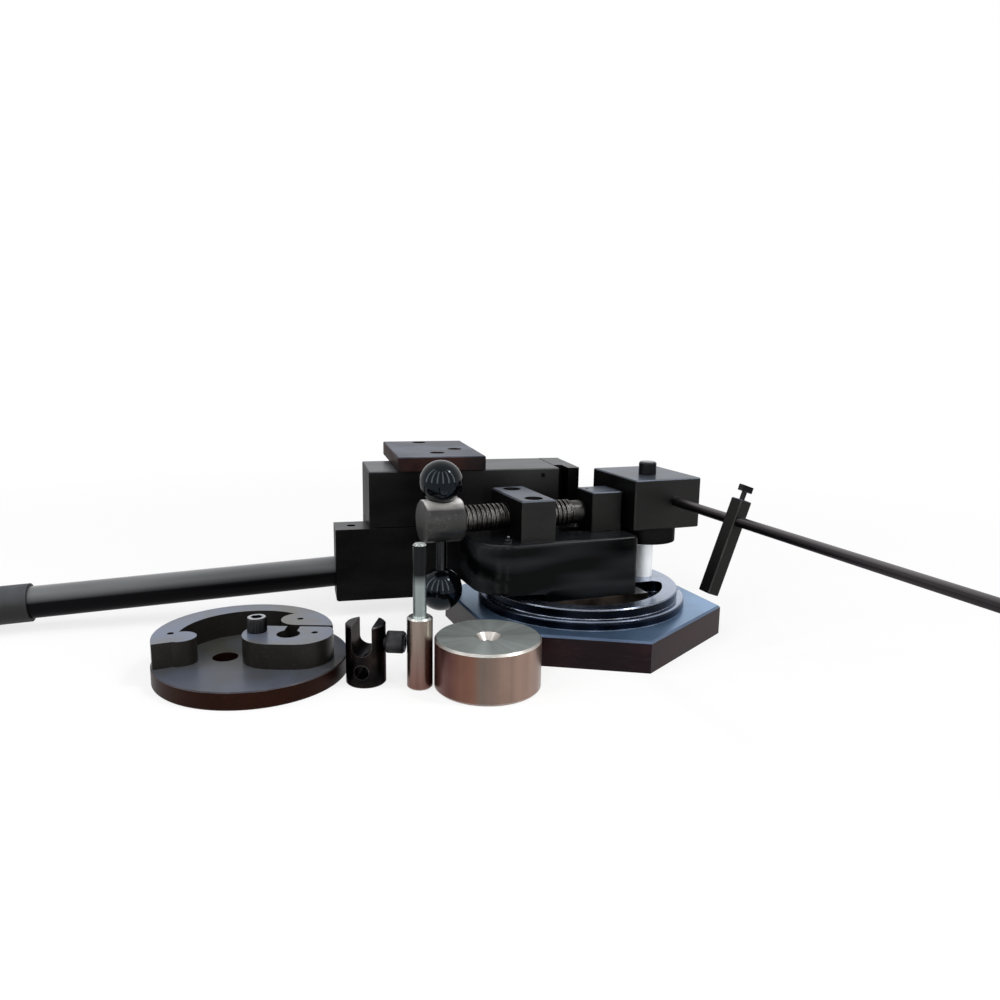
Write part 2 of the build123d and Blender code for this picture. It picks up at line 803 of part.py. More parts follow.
with BuildPart() as stop_arm:
    with BuildSketch(stop.offset(-stop_below)):
        Rectangle(stop_width, stop_thickness)
    extrude(amount=stop_below + stop_above)
    chamfer(stop_arm.edges(), stop_edge)
    with BuildSketch(rod_axis.offset(stop_distance - stop_thickness / 2)):
        Circle(rod_d / 2 + run_fit)
    extrude(amount=stop_thickness, mode=Mode.SUBTRACT)
    with BuildSketch(stop):
        Circle(stop_screw_d / 2 + run_fit)
    extrude(amount=stop_above, mode=Mode.SUBTRACT)
save(stop_arm, "stop_arm")

with BuildPart() as stop_screw:
    with BuildSketch(stop.offset(stop_screw_start)):
        Circle(stop_screw_d / 2)
    extrude(amount=stop_head_bottom - stop_screw_start)
    with BuildSketch(stop.offset(stop_head_bottom)):
        SlotOverall(stop_head_length, stop_head_width)
    extrude(amount=stop_head_h)
save(stop_screw, "stop_screw")

# Arm beam: hub, neck, long beam and the deep bar that takes the handle
bush_r = pivot_d / 2 + run_fit + bush_wall
wing_bolt_xs = [wing_main_right - wing_bolt_inset - n * wing_bolt_pitch_x for n in (0, 1)]
wing_bolt_points = [(x, wing_mid_y + side * wing_bolt_y) for x in wing_bolt_xs for side in (-1, 1)]
wing_bolt_recess = wing_bolt_head_h
handle_grub_x = bar_left + bar_overhang / 2
handle_top = (
    bar_bottom
    + handle_rise
    + bar_overhang / 2 * tan(radians(handle_droop))
    + handle_d / 2 / cos(radians(handle_droop))
)
handle_grub_r = handle_grub_d / 2
handle_grub_tip = handle_top + handle_grub_r * tan(radians(handle_droop)) + slide_gap

with BuildPart() as arm_beam:
    with BuildSketch(arm.offset(arm_hub_bottom)):
        Circle(arm_hub_r)
    extrude(amount=arm_hub_h)
    with BuildSketch(arm.offset(beam_bottom)):
        with BuildLine():
            Polyline(
                (-arm_hub_r, arm_hub_r / 2),
                (-arm_hub_r, wing_offset),
                (-neck_end, wing_offset + neck_reach),
                (arm_hub_r - neck_end, arm_hub_r / 2),
                close=True,
            )
        make_face()
    extrude(amount=arm_hub_top - beam_bottom)
    with BuildSketch(arm.offset(beam_bottom)):
        span(wing_left, wing_offset, -neck_end, wing_back)
    extrude(amount=beam_h)
    with BuildSketch(arm.offset(bar_bottom)):
        span(bar_left, wing_offset, bar_right - bar_relief_length, wing_offset + bar_depth)
    extrude(amount=bar_h)
    with BuildSketch(arm.offset(bar_bottom + bar_relief_h)):
        span(bar_left, wing_offset, bar_right, wing_offset + bar_depth)
    extrude(amount=bar_h - bar_relief_h)
    chamfer(arm_beam.faces().sort_by(Axis.Z)[0].edges(), bar_edge)
    with BuildSketch(arm.offset(arm_hub_bottom)):
        Circle(bush_r + seat_fit)
    extrude(amount=arm_hub_h, mode=Mode.SUBTRACT)
    with BuildSketch(arm.offset(beam_bottom)):
        with Locations(*wing_bolt_points):
            Circle(wing_bolt_d / 2 + bolt_clearance)
    extrude(amount=beam_h, mode=Mode.SUBTRACT)
    with BuildSketch(arm.offset(beam_bottom)):
        with Locations(*wing_bolt_points):
            Circle(wing_bolt_head_d / 2 + bolt_clearance)
    extrude(amount=wing_bolt_recess, mode=Mode.SUBTRACT)
    with BuildSketch(handle_axis.offset(-handle_socket)):
        Circle(handle_d / 2 + seat_fit)
    extrude(amount=handle_socket + handle_d, mode=Mode.SUBTRACT)
    with BuildSketch(arm.offset(beam_top)):
        with Locations((handle_grub_x, handle_y)):
            Circle(handle_grub_r + seat_fit)
    extrude(amount=handle_top - handle_d / 2 - beam_top, mode=Mode.SUBTRACT)
save(arm_beam, "arm_beam")

with BuildPart() as pivot_bush:
    with BuildSketch(arm.offset(arm_hub_bottom)):
        Circle(bush_r)
        Circle(pivot_d / 2 + run_fit, mode=Mode.SUBTRACT)
    extrude(amount=arm_hub_h)
save(pivot_bush, "pivot_bush")

# Wing with its bolts, nose and grub screw
top_screw_first = (
    top_plate_left + top_plate_length / 2,
    wing_mid_y - top_screw_pitch_y / 2,
)
top_screw_points = [
    (top_screw_first[0] + n * top_screw_pitch_x, top_screw_first[1] + n * top_screw_pitch_y)
    for n in (0, 1)
]
top_screw_seat = top_plate_top - top_screw_recess
nose_screw_z = beam_top + wing_h / 2
nose_screw_y = (wing_offset + nose_slot_depth + wing_back) / 2
nose_screw_seats = [
    Plane(
        origin=arm.from_local_coords(
            Vector(
                wing_right - nose_screw_head_h,
                nose_screw_y,
                nose_screw_z + side * nose_screw_pitch / 2,
            )
        ),
        x_dir=arm_back,
        z_dir=arm.x_dir,
    )
    for side in (-1, 1)
]
nose_screw_length = nose_length - nose_screw_head_h + nose_screw_grip
wing_grub_end = Plane(
    origin=arm.from_local_coords(
        Vector(wing_main_right - wing_grub_inset, wing_offset, wing_top - wing_grub_drop)
    ),
    x_dir=arm.x_dir,
    z_dir=arm_back * -1,
)

with BuildPart() as wing_block:
    with BuildSketch(arm.offset(beam_top)):
        span(wing_left, wing_offset, wing_main_right, wing_back)
    extrude(amount=wing_h)
    chamfer(wing_block.edges(), wing_edge)
    with BuildSketch(arm.offset(beam_top)):
        with Locations(*wing_bolt_points):
            Circle(wing_bolt_d / 2 + seat_fit)
    extrude(amount=wing_bolt_grip, mode=Mode.SUBTRACT)
    with BuildSketch(arm.offset(wing_top)):
        with Locations(*top_screw_points):
            Circle(top_screw_d / 2 + seat_fit)
    extrude(amount=-top_screw_grip, mode=Mode.SUBTRACT)
    with BuildSketch(*[seat.offset(nose_screw_head_h - nose_length) for seat in nose_screw_seats]):
        Circle(nose_screw_d / 2 + seat_fit)
    extrude(amount=-nose_screw_grip, mode=Mode.SUBTRACT)
    with BuildSketch(wing_grub_end):
        Circle(wing_grub_d / 2 + seat_fit)
    extrude(amount=-wing_grub_depth, mode=Mode.SUBTRACT)
save(wing_block, "wing_block")

wing_bolt_seats = [
    Plane(
        origin=arm.from_local_coords(Vector(x, y, beam_bottom + wing_bolt_recess)),
        x_dir=arm.x_dir,
        z_dir=(0, 0, -1),
    )
    for x, y in wing_bolt_points
]
wing_bolts = socket_screws(
    wing_bolt_seats,
    wing_bolt_d,
    beam_h - wing_bolt_recess + wing_bolt_grip,
    wing_bolt_head_d,
    wing_bolt_head_h,
)
save(wing_bolts, "wing_bolts")

nose_slot_y = wing_offset + nose_slot_depth

with BuildPart() as nose_insert:
    with BuildSketch(arm.offset(beam_top)):
        span(wing_main_right, wing_offset, wing_right, wing_back)
        span(wing_main_right, wing_offset, wing_right - nose_lip, nose_slot_y, mode=Mode.SUBTRACT)
    extrude(amount=wing_h)
    working_edge = nose_insert.edges().filter_by(Axis.Z).sort_by_distance(
        arm.from_local_coords(Vector(wing_right, wing_offset, wing_top))
    )[0]
    fillet(working_edge, nose_edge_r)
    with BuildSketch(*nose_screw_seats):
        Circle(nose_screw_d / 2 + bolt_clearance)
    extrude(amount=-nose_length, mode=Mode.SUBTRACT)
    with BuildSketch(*nose_screw_seats):
        Circle(nose_screw_head_d / 2 + bolt_clearance)
    extrude(amount=nose_screw_head_h, mode=Mode.SUBTRACT)
save(nose_insert, "nose_insert")

nose_screws = socket_screws(
    nose_screw_seats,
    nose_screw_d,
    nose_screw_length,
    nose_screw_head_d,
    nose_screw_head_h,
)
save(nose_screws, "nose_screws")

save(grub_screw(wing_grub_end, wing_grub_d, wing_grub_depth), "wing_set_screw")

# Drilled plate on the wing
top_plate_right = top_plate_left + top_plate_length
top_plate_back = top_plate_front + top_plate_depth
top_plate_hole = (top_plate_left + top_plate_hole_x, top_plate_back - top_plate_hole_inset)

with BuildPart() as top_plate:
    with BuildSketch(arm.offset(wing_top)):
        span(top_plate_left, top_plate_front, top_plate_right, top_plate_back)
    extrude(amount=top_plate_h)
    chamfer(top_plate.edges(), top_plate_edge)
    with BuildSketch(arm.offset(wing_top)):
        with Locations(top_plate_hole):
            Circle(top_plate_hole_d / 2)
        with Locations(*top_screw_points):
            Circle(top_screw_d / 2 + bolt_clearance)
    extrude(amount=top_plate_h, mode=Mode.SUBTRACT)
    with BuildSketch(arm.offset(top_screw_seat)):
        with Locations(*top_screw_points):
            Circle(top_screw_head_d / 2 + bolt_clearance)
    extrude(amount=top_screw_recess, mode=Mode.SUBTRACT)
save(top_plate, "top_plate")

top_plate_screws = socket_screws(
    [
        Plane(
            origin=arm.from_local_coords(Vector(x, y, top_screw_seat)),
            x_dir=arm.x_dir,
            z_dir=(0, 0, 1),
        )
        for x, y in top_screw_points
    ],
    top_screw_d,
    top_plate_h - top_screw_recess + top_screw_grip,
    top_screw_head_d,
    top_screw_head_h,
)
save(top_plate_screws, "top_plate_screws")

# Handle, its grip and the screw that holds it
handle_r = handle_d / 2
grip_cover = grip_length - grip_end_wall

with BuildPart() as handle_tube:
    with BuildSketch(handle_axis.offset(-handle_socket)):
        Circle(handle_r)
        Circle(handle_r - handle_wall, mode=Mode.SUBTRACT)
    extrude(amount=handle_socket + handle_reach)
save(handle_tube, "handle_tube")

with BuildPart() as grip_sleeve:
    with BuildSketch(handle_axis.offset(handle_reach - grip_cover)):
        Circle(grip_d / 2)
    extrude(amount=grip_length)
    fillet(grip_sleeve.faces().sort_by(Axis.X)[0].edges(), grip_edge_r)
    with BuildSketch(handle_axis.offset(handle_reach - grip_cover)):
        Circle(handle_r + seat_fit)
    extrude(amount=grip_cover, mode=Mode.SUBTRACT)
save(grip_sleeve, "grip_sleeve")

handle_grub_top = beam_top - handle_grub_inset
handle_grub_end = Plane(
    origin=arm.from_local_coords(Vector(handle_grub_x, handle_y, handle_grub_top)),
    x_dir=arm.x_dir,
    z_dir=(0, 0, 1),
)
handle_grub_length = handle_grub_top - handle_grub_tip
save(grub_screw(handle_grub_end, handle_grub_d, handle_grub_length), "handle_set_screw")

# Loose tools
tool_bore_r = tool_pin_d / 2 + run_fit
roller_bore_r = tool_spindle_d / 2 + run_fit

with BuildPart() as tool_pin:
    with BuildSketch(tool_stand):
        Circle(tool_pin_d / 2)
    extrude(amount=tool_pin_h)
    chamfer(tool_pin.edges().filter_by(GeomType.CIRCLE), tool_edge)
    with BuildSketch(tool_stand.offset(tool_pin_h)):
        Circle(tool_spindle_d / 2)
    extrude(amount=tool_spindle_h)
    chamfer(tool_pin.faces().sort_by(Axis.Z)[-1].edges(), tool_edge)
save(tool_pin, "tool_pin")

with BuildPart() as roller:
    with BuildSketch(roller_stand):
        Circle(roller_d / 2)
    extrude(amount=roller_h)
    chamfer(roller.edges().filter_by(GeomType.CIRCLE), roller_edge)
    with BuildSketch(roller_stand):
        Circle(roller_bore_r)
    extrude(amount=roller_h, mode=Mode.SUBTRACT)
    chamfer(roller.edges().filter_by(GeomType.CIRCLE).group_by(SortBy.RADIUS)[0], roller_bore_edge)
save(roller, "roller")

holder_bolt_tip = fork_slot_width / 2 + slide_gap
holder_bolt_reach = holder_d / 2 + holder_bolt_standoff - holder_bolt_tip
holder_bolt_axis = Plane(
    origin=holder.from_local_coords(Vector(holder_bolt_tip, 0, fork_seat_z)),
    x_dir=holder.y_dir,
    z_dir=holder.x_dir,
)
holder_front = Plane(
    origin=holder.from_local_coords(Vector(0, -holder_d, 0)),
    x_dir=holder.x_dir,
    z_dir=-holder.y_dir,
)

with BuildPart() as fork_holder:
    with BuildSketch(holder):
        Circle(holder_d / 2)
    extrude(amount=holder_h)
    chamfer(fork_holder.edges().filter_by(GeomType.CIRCLE), holder_edge)
    with BuildSketch(holder_front):
        with Locations((0, fork_seat_z)):
            Circle(fork_slot_width / 2)
        span(-fork_slot_width / 2, fork_seat_z, fork_slot_width / 2, holder_h)
        with Locations((0, holder_hole_z)):
            Circle(holder_hole_d / 2)
    extrude(amount=-2 * holder_d, mode=Mode.SUBTRACT)
    with BuildSketch(holder_bolt_axis.offset(-holder_bolt_tip)):
        Circle(holder_bolt_d / 2 + run_fit)
    extrude(amount=holder_d, mode=Mode.SUBTRACT)
save(fork_holder, "fork_holder")

fork_bolt = socket_screws(
    [holder_bolt_axis.offset(holder_bolt_reach)],
    holder_bolt_d,
    holder_bolt_reach,
    holder_bolt_head_d,
    holder_bolt_head_h,
)
with fork_bolt:
    bolt_end = fork_bolt.faces().sort_by(Axis(holder_bolt_axis.origin, holder_bolt_axis.z_dir))[-1]
    fillet(bolt_end.outer_wire().edges(), holder_bolt_edge_r)
save(fork_bolt, "fork_bolt")

# Scroll die: disc, hooked outer wall and inner heart with its keyhole
scroll_top = scroll_disc_h + scroll_h
end_dowel = (end_lobe_x, scroll_gate_y + end_lobe_r)
dowel_points = [start_dowel, end_dowel, heart_dowel]
gate_reach = 2 * scroll_disc_r
gate_x = gate_reach * cos(radians(scroll_gate_angle))
gate_y = gate_reach * sin(radians(scroll_gate_angle))
dowel_hole_r = dowel_d / 2 + seat_fit
scroll_screw_hole_r = scroll_screw_d / 2 + seat_fit

with BuildPart() as scroll_plate:
    with BuildSketch(scroll):
        Circle(scroll_disc_r)
    extrude(amount=scroll_disc_h)
    chamfer(scroll_plate.edges().filter_by(GeomType.CIRCLE), scroll_disc_edge)
    with BuildSketch(scroll):
        with Locations(disc_hole):
            Circle(tool_bore_r)
    extrude(amount=scroll_disc_h, mode=Mode.SUBTRACT)
    with BuildSketch(scroll.offset(scroll_disc_h)):
        with Locations(scroll_screw_at):
            Circle(scroll_screw_hole_r)
    extrude(amount=-scroll_screw_grip, mode=Mode.SUBTRACT)
    with BuildSketch(scroll.offset(scroll_disc_h)):
        with Locations(*dowel_points):
            Circle(dowel_hole_r)
    extrude(amount=-dowel_grip, mode=Mode.SUBTRACT)
save(scroll_plate, "scroll_plate")

with BuildPart() as outer_scroll:
    with BuildSketch(scroll.offset(scroll_disc_h)):
        with Locations(scroll_rim_centre):
            Circle(scroll_rim_r)
        with Locations(scroll_inner_centre):
            Circle(scroll_inner_r, mode=Mode.SUBTRACT)
        with BuildLine():
            Polyline(
                scroll_inner_centre,
                (gate_x, gate_y),
                (-gate_reach, gate_reach),
                (gate_reach, gate_reach),
                (gate_reach, scroll_gate_y),
                (scroll_inner_centre[0], scroll_gate_y),
                close=True,
            )
        make_face(mode=Mode.INTERSECT)
        with Locations(start_lobe):
            Circle(start_lobe_r)
        with Locations(end_dowel):
            Circle(end_lobe_r)
        span(end_lobe_x, scroll_gate_y, scroll_inner_r, end_dowel[1])
        with Locations(start_dowel, end_dowel):
            Circle(dowel_hole_r, mode=Mode.SUBTRACT)
    extrude(amount=scroll_h)
save(outer_scroll, "outer_scroll")

with BuildPart() as inner_scroll:
    with BuildSketch(scroll.offset(scroll_disc_h)):
        with Locations(((heart_left + heart_right) / 2, heart_y)):
            SlotCenterToCenter(heart_right - heart_left, 2 * heart_r)
        span(-gate_reach, heart_top, gate_reach, gate_reach, mode=Mode.SUBTRACT)
        with Locations(keyhole):
            Circle(keyhole_r, mode=Mode.SUBTRACT)
        span(
            keyhole[0] - keyhole_mouth / 2,
            keyhole[1],
            keyhole[0] + keyhole_mouth / 2,
            gate_reach,
            mode=Mode.SUBTRACT,
        )
        with Locations(heart_dowel):
            Circle(dowel_hole_r, mode=Mode.SUBTRACT)
        with Locations(scroll_screw_at):
            Circle(scroll_screw_hole_r, mode=Mode.SUBTRACT)
    extrude(amount=scroll_h)
save(inner_scroll, "inner_scroll")

scroll_screw_seat = Plane(
    origin=scroll.from_local_coords(Vector(scroll_screw_at[0], scroll_screw_at[1], scroll_top))
)
scroll_screw = socket_screws(
    [scroll_screw_seat],
    scroll_screw_d,
    scroll_h + scroll_screw_grip,
    scroll_screw_head_d,
    scroll_screw_head_h,
)
save(scroll_screw, "scroll_screw")

with BuildPart() as scroll_dowels:
    with BuildSketch(scroll.offset(scroll_disc_h - dowel_grip)):
        with Locations(*dowel_points):
            Circle(dowel_d / 2)
    extrude(amount=dowel_grip + scroll_h - dowel_drop)
save(scroll_dowels, "scroll_dowels")
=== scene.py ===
"""Looks of the bar bending machine: its finishes, cut threads, knurled screws and studio.

Every piece is in metres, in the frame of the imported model: +X along the clamp screw
towards the die, -Y towards the operator, +Z up.
"""

import logging
import math
from collections.abc import Iterable, Sequence
from dataclasses import dataclass
from enum import Enum
from typing import ClassVar

import bpy
from mathutils import Matrix, Vector

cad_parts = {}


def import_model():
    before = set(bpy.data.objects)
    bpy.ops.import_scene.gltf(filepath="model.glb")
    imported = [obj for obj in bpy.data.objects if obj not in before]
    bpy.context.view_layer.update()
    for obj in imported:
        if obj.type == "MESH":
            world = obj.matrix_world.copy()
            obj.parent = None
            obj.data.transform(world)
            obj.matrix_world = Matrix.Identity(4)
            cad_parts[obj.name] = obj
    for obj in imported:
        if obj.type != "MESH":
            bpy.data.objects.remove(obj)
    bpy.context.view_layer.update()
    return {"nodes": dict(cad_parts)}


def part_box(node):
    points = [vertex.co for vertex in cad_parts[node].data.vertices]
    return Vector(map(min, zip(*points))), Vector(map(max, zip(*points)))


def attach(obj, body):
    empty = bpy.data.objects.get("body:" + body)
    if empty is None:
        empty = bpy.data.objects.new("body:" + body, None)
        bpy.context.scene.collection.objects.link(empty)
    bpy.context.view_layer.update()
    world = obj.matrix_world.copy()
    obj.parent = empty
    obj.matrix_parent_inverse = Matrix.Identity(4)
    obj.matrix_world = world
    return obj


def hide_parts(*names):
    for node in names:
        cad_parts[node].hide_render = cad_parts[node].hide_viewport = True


LOG = logging.getLogger("bar_bender")
MM = 0.001
SHARP_ANGLE = math.radians(32)
UP = Vector((0.0, 0.0, 1.0))
# Places of the colour sockets on a Mix node.
MIX_INPUTS = (0, 6, 7)
MIX_RESULT = 2

Colour = tuple[float, float, float]
Triple = tuple[float, float, float]
Value = float | Triple | bpy.types.NodeSocket
Ring = list[Vector]


class NodeBench:
    """Short calls for adding and joining the nodes of one tree."""

    def __init__(self, tree: bpy.types.NodeTree) -> None:
        """Keep the tree that the calls work on."""
        self.tree = tree

    def add(self, kind: str, **settings: object) -> bpy.types.Node:
        """Add one node.

        Args:
            kind: Blender's name of the node type.
            settings: Properties to set on it.

        Returns:
            The new node.
        """
        node = self.tree.nodes.new(kind)
        for name, value in settings.items():
            setattr(node, name, value)
        return node

    def feed(self, socket: bpy.types.NodeSocket, value: Value) -> None:
        """Link a socket, or set it where the value is plain.

        Args:
            socket: The input to feed.
            value: Another node's output, a number, or a colour or vector.
        """
        if isinstance(value, bpy.types.NodeSocket):
            self.tree.links.new(value, socket)
        elif socket.type == "RGBA":
            socket.default_value = (*value, 1.0)
        else:
            socket.default_value = value

    def filled(self, kind: str, terms: Iterable[Value], **settings: object) -> bpy.types.Node:
        """Add one node and feed its first inputs.

        Args:
            kind: Blender's name of the node type.
            terms: What the inputs get, in their order.
            settings: Properties to set on it.

        Returns:
            The new node.
        """
        node = self.add(kind, **settings)
        for socket, term in zip(node.inputs, terms):
            self.feed(socket, term)
        return node

    def math(self, operation: str, *terms: Value) -> bpy.types.NodeSocket:
        """Return what a Math node makes of the terms."""
        return self.filled("ShaderNodeMath", terms, operation=operation).outputs[0]

    def vector(self, operation: str, *terms: Value) -> bpy.types.NodeSocket:
        """Return the vector that a Vector Math node makes of the terms."""
        return self.filled("ShaderNodeVectorMath", terms, operation=operation).outputs["Vector"]

    def measure(self, operation: str, *terms: Value) -> bpy.types.NodeSocket:
        """Return the number that a Vector Math node makes of the terms."""
        return self.filled("ShaderNodeVectorMath", terms, operation=operation).outputs["Value"]

    def shared(self, share: float, first: Value, second: Value) -> bpy.types.NodeSocket:
        """Return a share of the first value plus the rest of the second."""
        return self.math("MULTIPLY_ADD", first, share, self.math("MULTIPLY", second, 1.0 - share))

    def remap(self, value: Value, low: Value, high: Value, start: float = 0.0,
              end: float = 1.0) -> bpy.types.NodeSocket:
        """Scale a value from one span to another, without passing its ends.

        Args:
            value: The value to scale.
            low: Where the first span begins.
            high: Where the first span ends.
            start: What low becomes.
            end: What high becomes.

        Returns:
            The scaled value.
        """
        terms = (value, low, high, start, end)
        return self.filled("ShaderNodeMapRange", terms, clamp=True).outputs[0]

    def mix(self, share: Value, first: Value, second: Value) -> bpy.types.NodeSocket:
        """Mix two colours.

        Args:
            share: Share of the second colour.
            first: Colour at share 0.
            second: Colour at share 1.

        Returns:
            The mixed colour.
        """
        node = self.add("ShaderNodeMix", data_type="RGBA")
        for place, value in zip(MIX_INPUTS, (share, first, second)):
            self.feed(node.inputs[place], value)
        return node.outputs[MIX_RESULT]

    def noise(self, place: Value, scale: Value, detail: float) -> bpy.types.NodeSocket:
        """Return the value of a Noise node.

        Args:
            place: Where the noise is read.
            scale: Lumps per metre.
            detail: Number of finer layers.

        Returns:
            Noise from 0 to 1.
        """
        node = self.add("ShaderNodeTexNoise")
        self.feed(node.inputs["Vector"], place)
        self.feed(node.inputs["Scale"], scale)
        node.inputs["Detail"].default_value = detail
        return node.outputs["Fac"]


class EffectGroup:
    """A shader node group in the making, with its inputs and outputs.

    Attributes:
        tree: The group.
        bench: The calls that add its nodes.
        place: A point's place, which moves with its piece.
        own_normal: The normal there, which turns with the piece.
        normal: The normal as it stands in the scene.
    """

    def __init__(self, name: str, inputs: dict[str, float | Triple], outputs: Iterable[str]) -> None:
        """Make the group and its sockets.

        Args:
            name: Name of the group.
            inputs: Each input's name and usual value; a triple makes a vector.
            outputs: Names of the values that it puts out.
        """
        self.tree = bpy.data.node_groups.new(name, "ShaderNodeTree")
        self.bench = NodeBench(self.tree)
        for title, usual in inputs.items():
            kind = "NodeSocketVector" if isinstance(usual, tuple) else "NodeSocketFloat"
            socket = self.tree.interface.new_socket(title, in_out="INPUT", socket_type=kind)
            socket.default_value = usual
        for title in outputs:
            self.tree.interface.new_socket(title, in_out="OUTPUT", socket_type="NodeSocketFloat")
        self._entry = self.bench.add("NodeGroupInput")
        self._exit = self.bench.add("NodeGroupOutput")
        spot = self.bench.add("ShaderNodeTexCoord")
        self.place = spot.outputs["Object"]
        self.own_normal = spot.outputs["Normal"]
        self.normal = self.bench.add("ShaderNodeNewGeometry").outputs["Normal"]

    def given(self, title: str) -> bpy.types.NodeSocket:
        """Return the value that a material gives to an input."""
        return self._entry.outputs[title]

    def put_out(self, title: str, value: bpy.types.NodeSocket) -> None:
        """Join a value to an output."""
        self.bench.feed(self._exit.inputs[title], value)


class SharedEffects:
    """The node groups that the finishes place with their own values.

    Attributes:
        EDGE_TURN: How far a rounded normal leaves its face's where wear begins, and where it is full.
        RUBBED_FROM: Noise where rubbing begins, times the share of edges that is kept.
        RUBBED_PAST: Noise past that share where rubbing is full.
        SWEEPS: Changes of tone round a turned face, which on the roller are painted reflection bands.
        SCRATCHES: Turn and stretch of each set of scratches.
        SCRATCH_NOISE: Noise where a scratch begins, and where it is full.
    """

    EDGE_TURN = (0.015, 0.2)
    RUBBED_FROM = 0.75
    RUBBED_PAST = 0.12
    SWEEPS = 2.4
    SCRATCHES = ((0.5, (1.0, 14.0, 9.0)), (-0.9, (12.0, 1.0, 8.0)))
    SCRATCH_NOISE = (0.62, 0.68)

    def __init__(self) -> None:
        """Build every group once."""
        self.edge_wear_and_painted_glints = self._edge_wear_and_painted_glints()
        self.fine_grain = self._fine_grain()
        self.lathe_marks = self._lathe_marks()
        self.upward_faces = self._upward_faces()
        self.scuff_lines = self._scuff_lines()

    def _edge_wear_and_painted_glints(self) -> bpy.types.NodeTree:
        """Mask the edges where a coat is rubbed through, which on the deck and the hub also paints
        highlights along the edges.

        Returns:
            The group.
        """
        group = EffectGroup("edge_wear_and_painted_glints", {"Width": 0.001, "Patches": 60.0, "Amount": 0.5}, ["Mask"])
        bench = group.bench
        rounded = bench.add("ShaderNodeBevel", samples=6)
        bench.feed(rounded.inputs["Radius"], group.given("Width"))
        along = bench.measure("DOT_PRODUCT", rounded.outputs[0], group.normal)
        edge = bench.remap(bench.math("SUBTRACT", 1.0, along), *self.EDGE_TURN)
        patches = bench.noise(group.place, group.given("Patches"), detail=5.0)
        kept = bench.math("SUBTRACT", 1.0, group.given("Amount"))
        start = bench.math("MULTIPLY", kept, self.RUBBED_FROM)
        rubbed = bench.remap(patches, start, bench.math("ADD", kept, self.RUBBED_PAST))
        group.put_out("Mask", bench.math("MULTIPLY", edge, rubbed))
        return group.tree

    def _fine_grain(self) -> bpy.types.NodeTree:
        """Make the fine unevenness of a surface, in one direction or all.

        Returns:
            The group.
        """
        inputs = {"Scale": 800.0, "Stretch": (1.0, 1.0, 1.0), "Coarse": 40.0}
        group = EffectGroup("fine_grain", inputs, ["Grain", "Mottle", "Waves"])
        bench = group.bench
        drawn = bench.vector("MULTIPLY", group.place, group.given("Stretch"))
        group.put_out("Grain", bench.noise(drawn, group.given("Scale"), detail=4.0))
        group.put_out("Mottle", bench.noise(drawn, group.given("Coarse"), detail=6.0))
        group.put_out("Waves", bench.noise(drawn, group.given("Coarse"), detail=0.5))
        return group.tree

    def _lathe_marks(self) -> bpy.types.NodeTree:
        """Make the rings that a lathe tool leaves round an upright axis, and the sweep of tone round it that
        paints reflection bands on the roller.

        Returns:
            The group.
        """
        inputs = {"Centre": (0.0, 0.0, 0.0), "Scale": 1500.0}
        group = EffectGroup("lathe_marks", inputs, ["Rings", "Sweep"])
        bench = group.bench
        offset = bench.vector("SUBTRACT", group.place, group.given("Centre"))
        outward = bench.vector("MULTIPLY", offset, (1.0, 1.0, 0.0))
        height = bench.filled("ShaderNodeSeparateXYZ", [offset]).outputs["Z"]
        spot = bench.filled("ShaderNodeCombineXYZ", [bench.measure("LENGTH", outward), height])
        group.put_out("Rings", bench.noise(spot.outputs[0], group.given("Scale"), detail=2.0))
        heading = bench.vector("NORMALIZE", outward)
        group.put_out("Sweep", bench.noise(heading, self.SWEEPS, detail=3.0))
        return group.tree

    def _upward_faces(self) -> bpy.types.NodeTree:
        """Mask the faces that look up at rest.

        Returns:
            The group.
        """
        group = EffectGroup("upward_faces", {"From": 0.55, "To": 0.96}, ["Mask"])
        bench = group.bench
        rise = bench.filled("ShaderNodeSeparateXYZ", [group.own_normal]).outputs["Z"]
        group.put_out("Mask", bench.remap(rise, group.given("From"), group.given("To")))
        return group.tree

    def _scuff_lines(self) -> bpy.types.NodeTree:
        """Make thin scratches in two directions.

        Returns:
            The group.
        """
        group = EffectGroup("scuff_lines", {"Scale": 60.0, "Amount": 0.4}, ["Mask"])
        bench = group.bench
        lines = []
        for turn, stretch in self.SCRATCHES:
            turned = bench.add("ShaderNodeVectorRotate", rotation_type="Z_AXIS")
            bench.feed(turned.inputs["Vector"], group.place)
            turned.inputs["Angle"].default_value = turn
            drawn = bench.vector("MULTIPLY", turned.outputs[0], stretch)
            noise = bench.noise(drawn, group.given("Scale"), detail=3.0)
            lines.append(bench.remap(noise, *self.SCRATCH_NOISE))
        either = bench.math("MAXIMUM", *lines)
        group.put_out("Mask", bench.math("MULTIPLY", either, group.given("Amount")))
        return group.tree


# Noise that counts as the lowest and the highest, and where a patch begins and is full.
NOISE_SPAN = (0.3, 0.7)
PATCH_SPAN = (0.42, 0.6)
# Share of the sweep, painted reflection bands on the roller, in a turned face's patches, and of the fine
# relief in any roughness.
SWEEP_SHARE = 0.7
FINE_SHARE = 0.4
# Height of the fine grain on a cast surface's waves.
CAST_GRAIN = 0.03


class Texture(Enum):
    """How a surface was made, which sets its fine relief."""

    EVEN = "even grain"
    TURNED = "rings round an axis"
    CAST = "soft lumps"


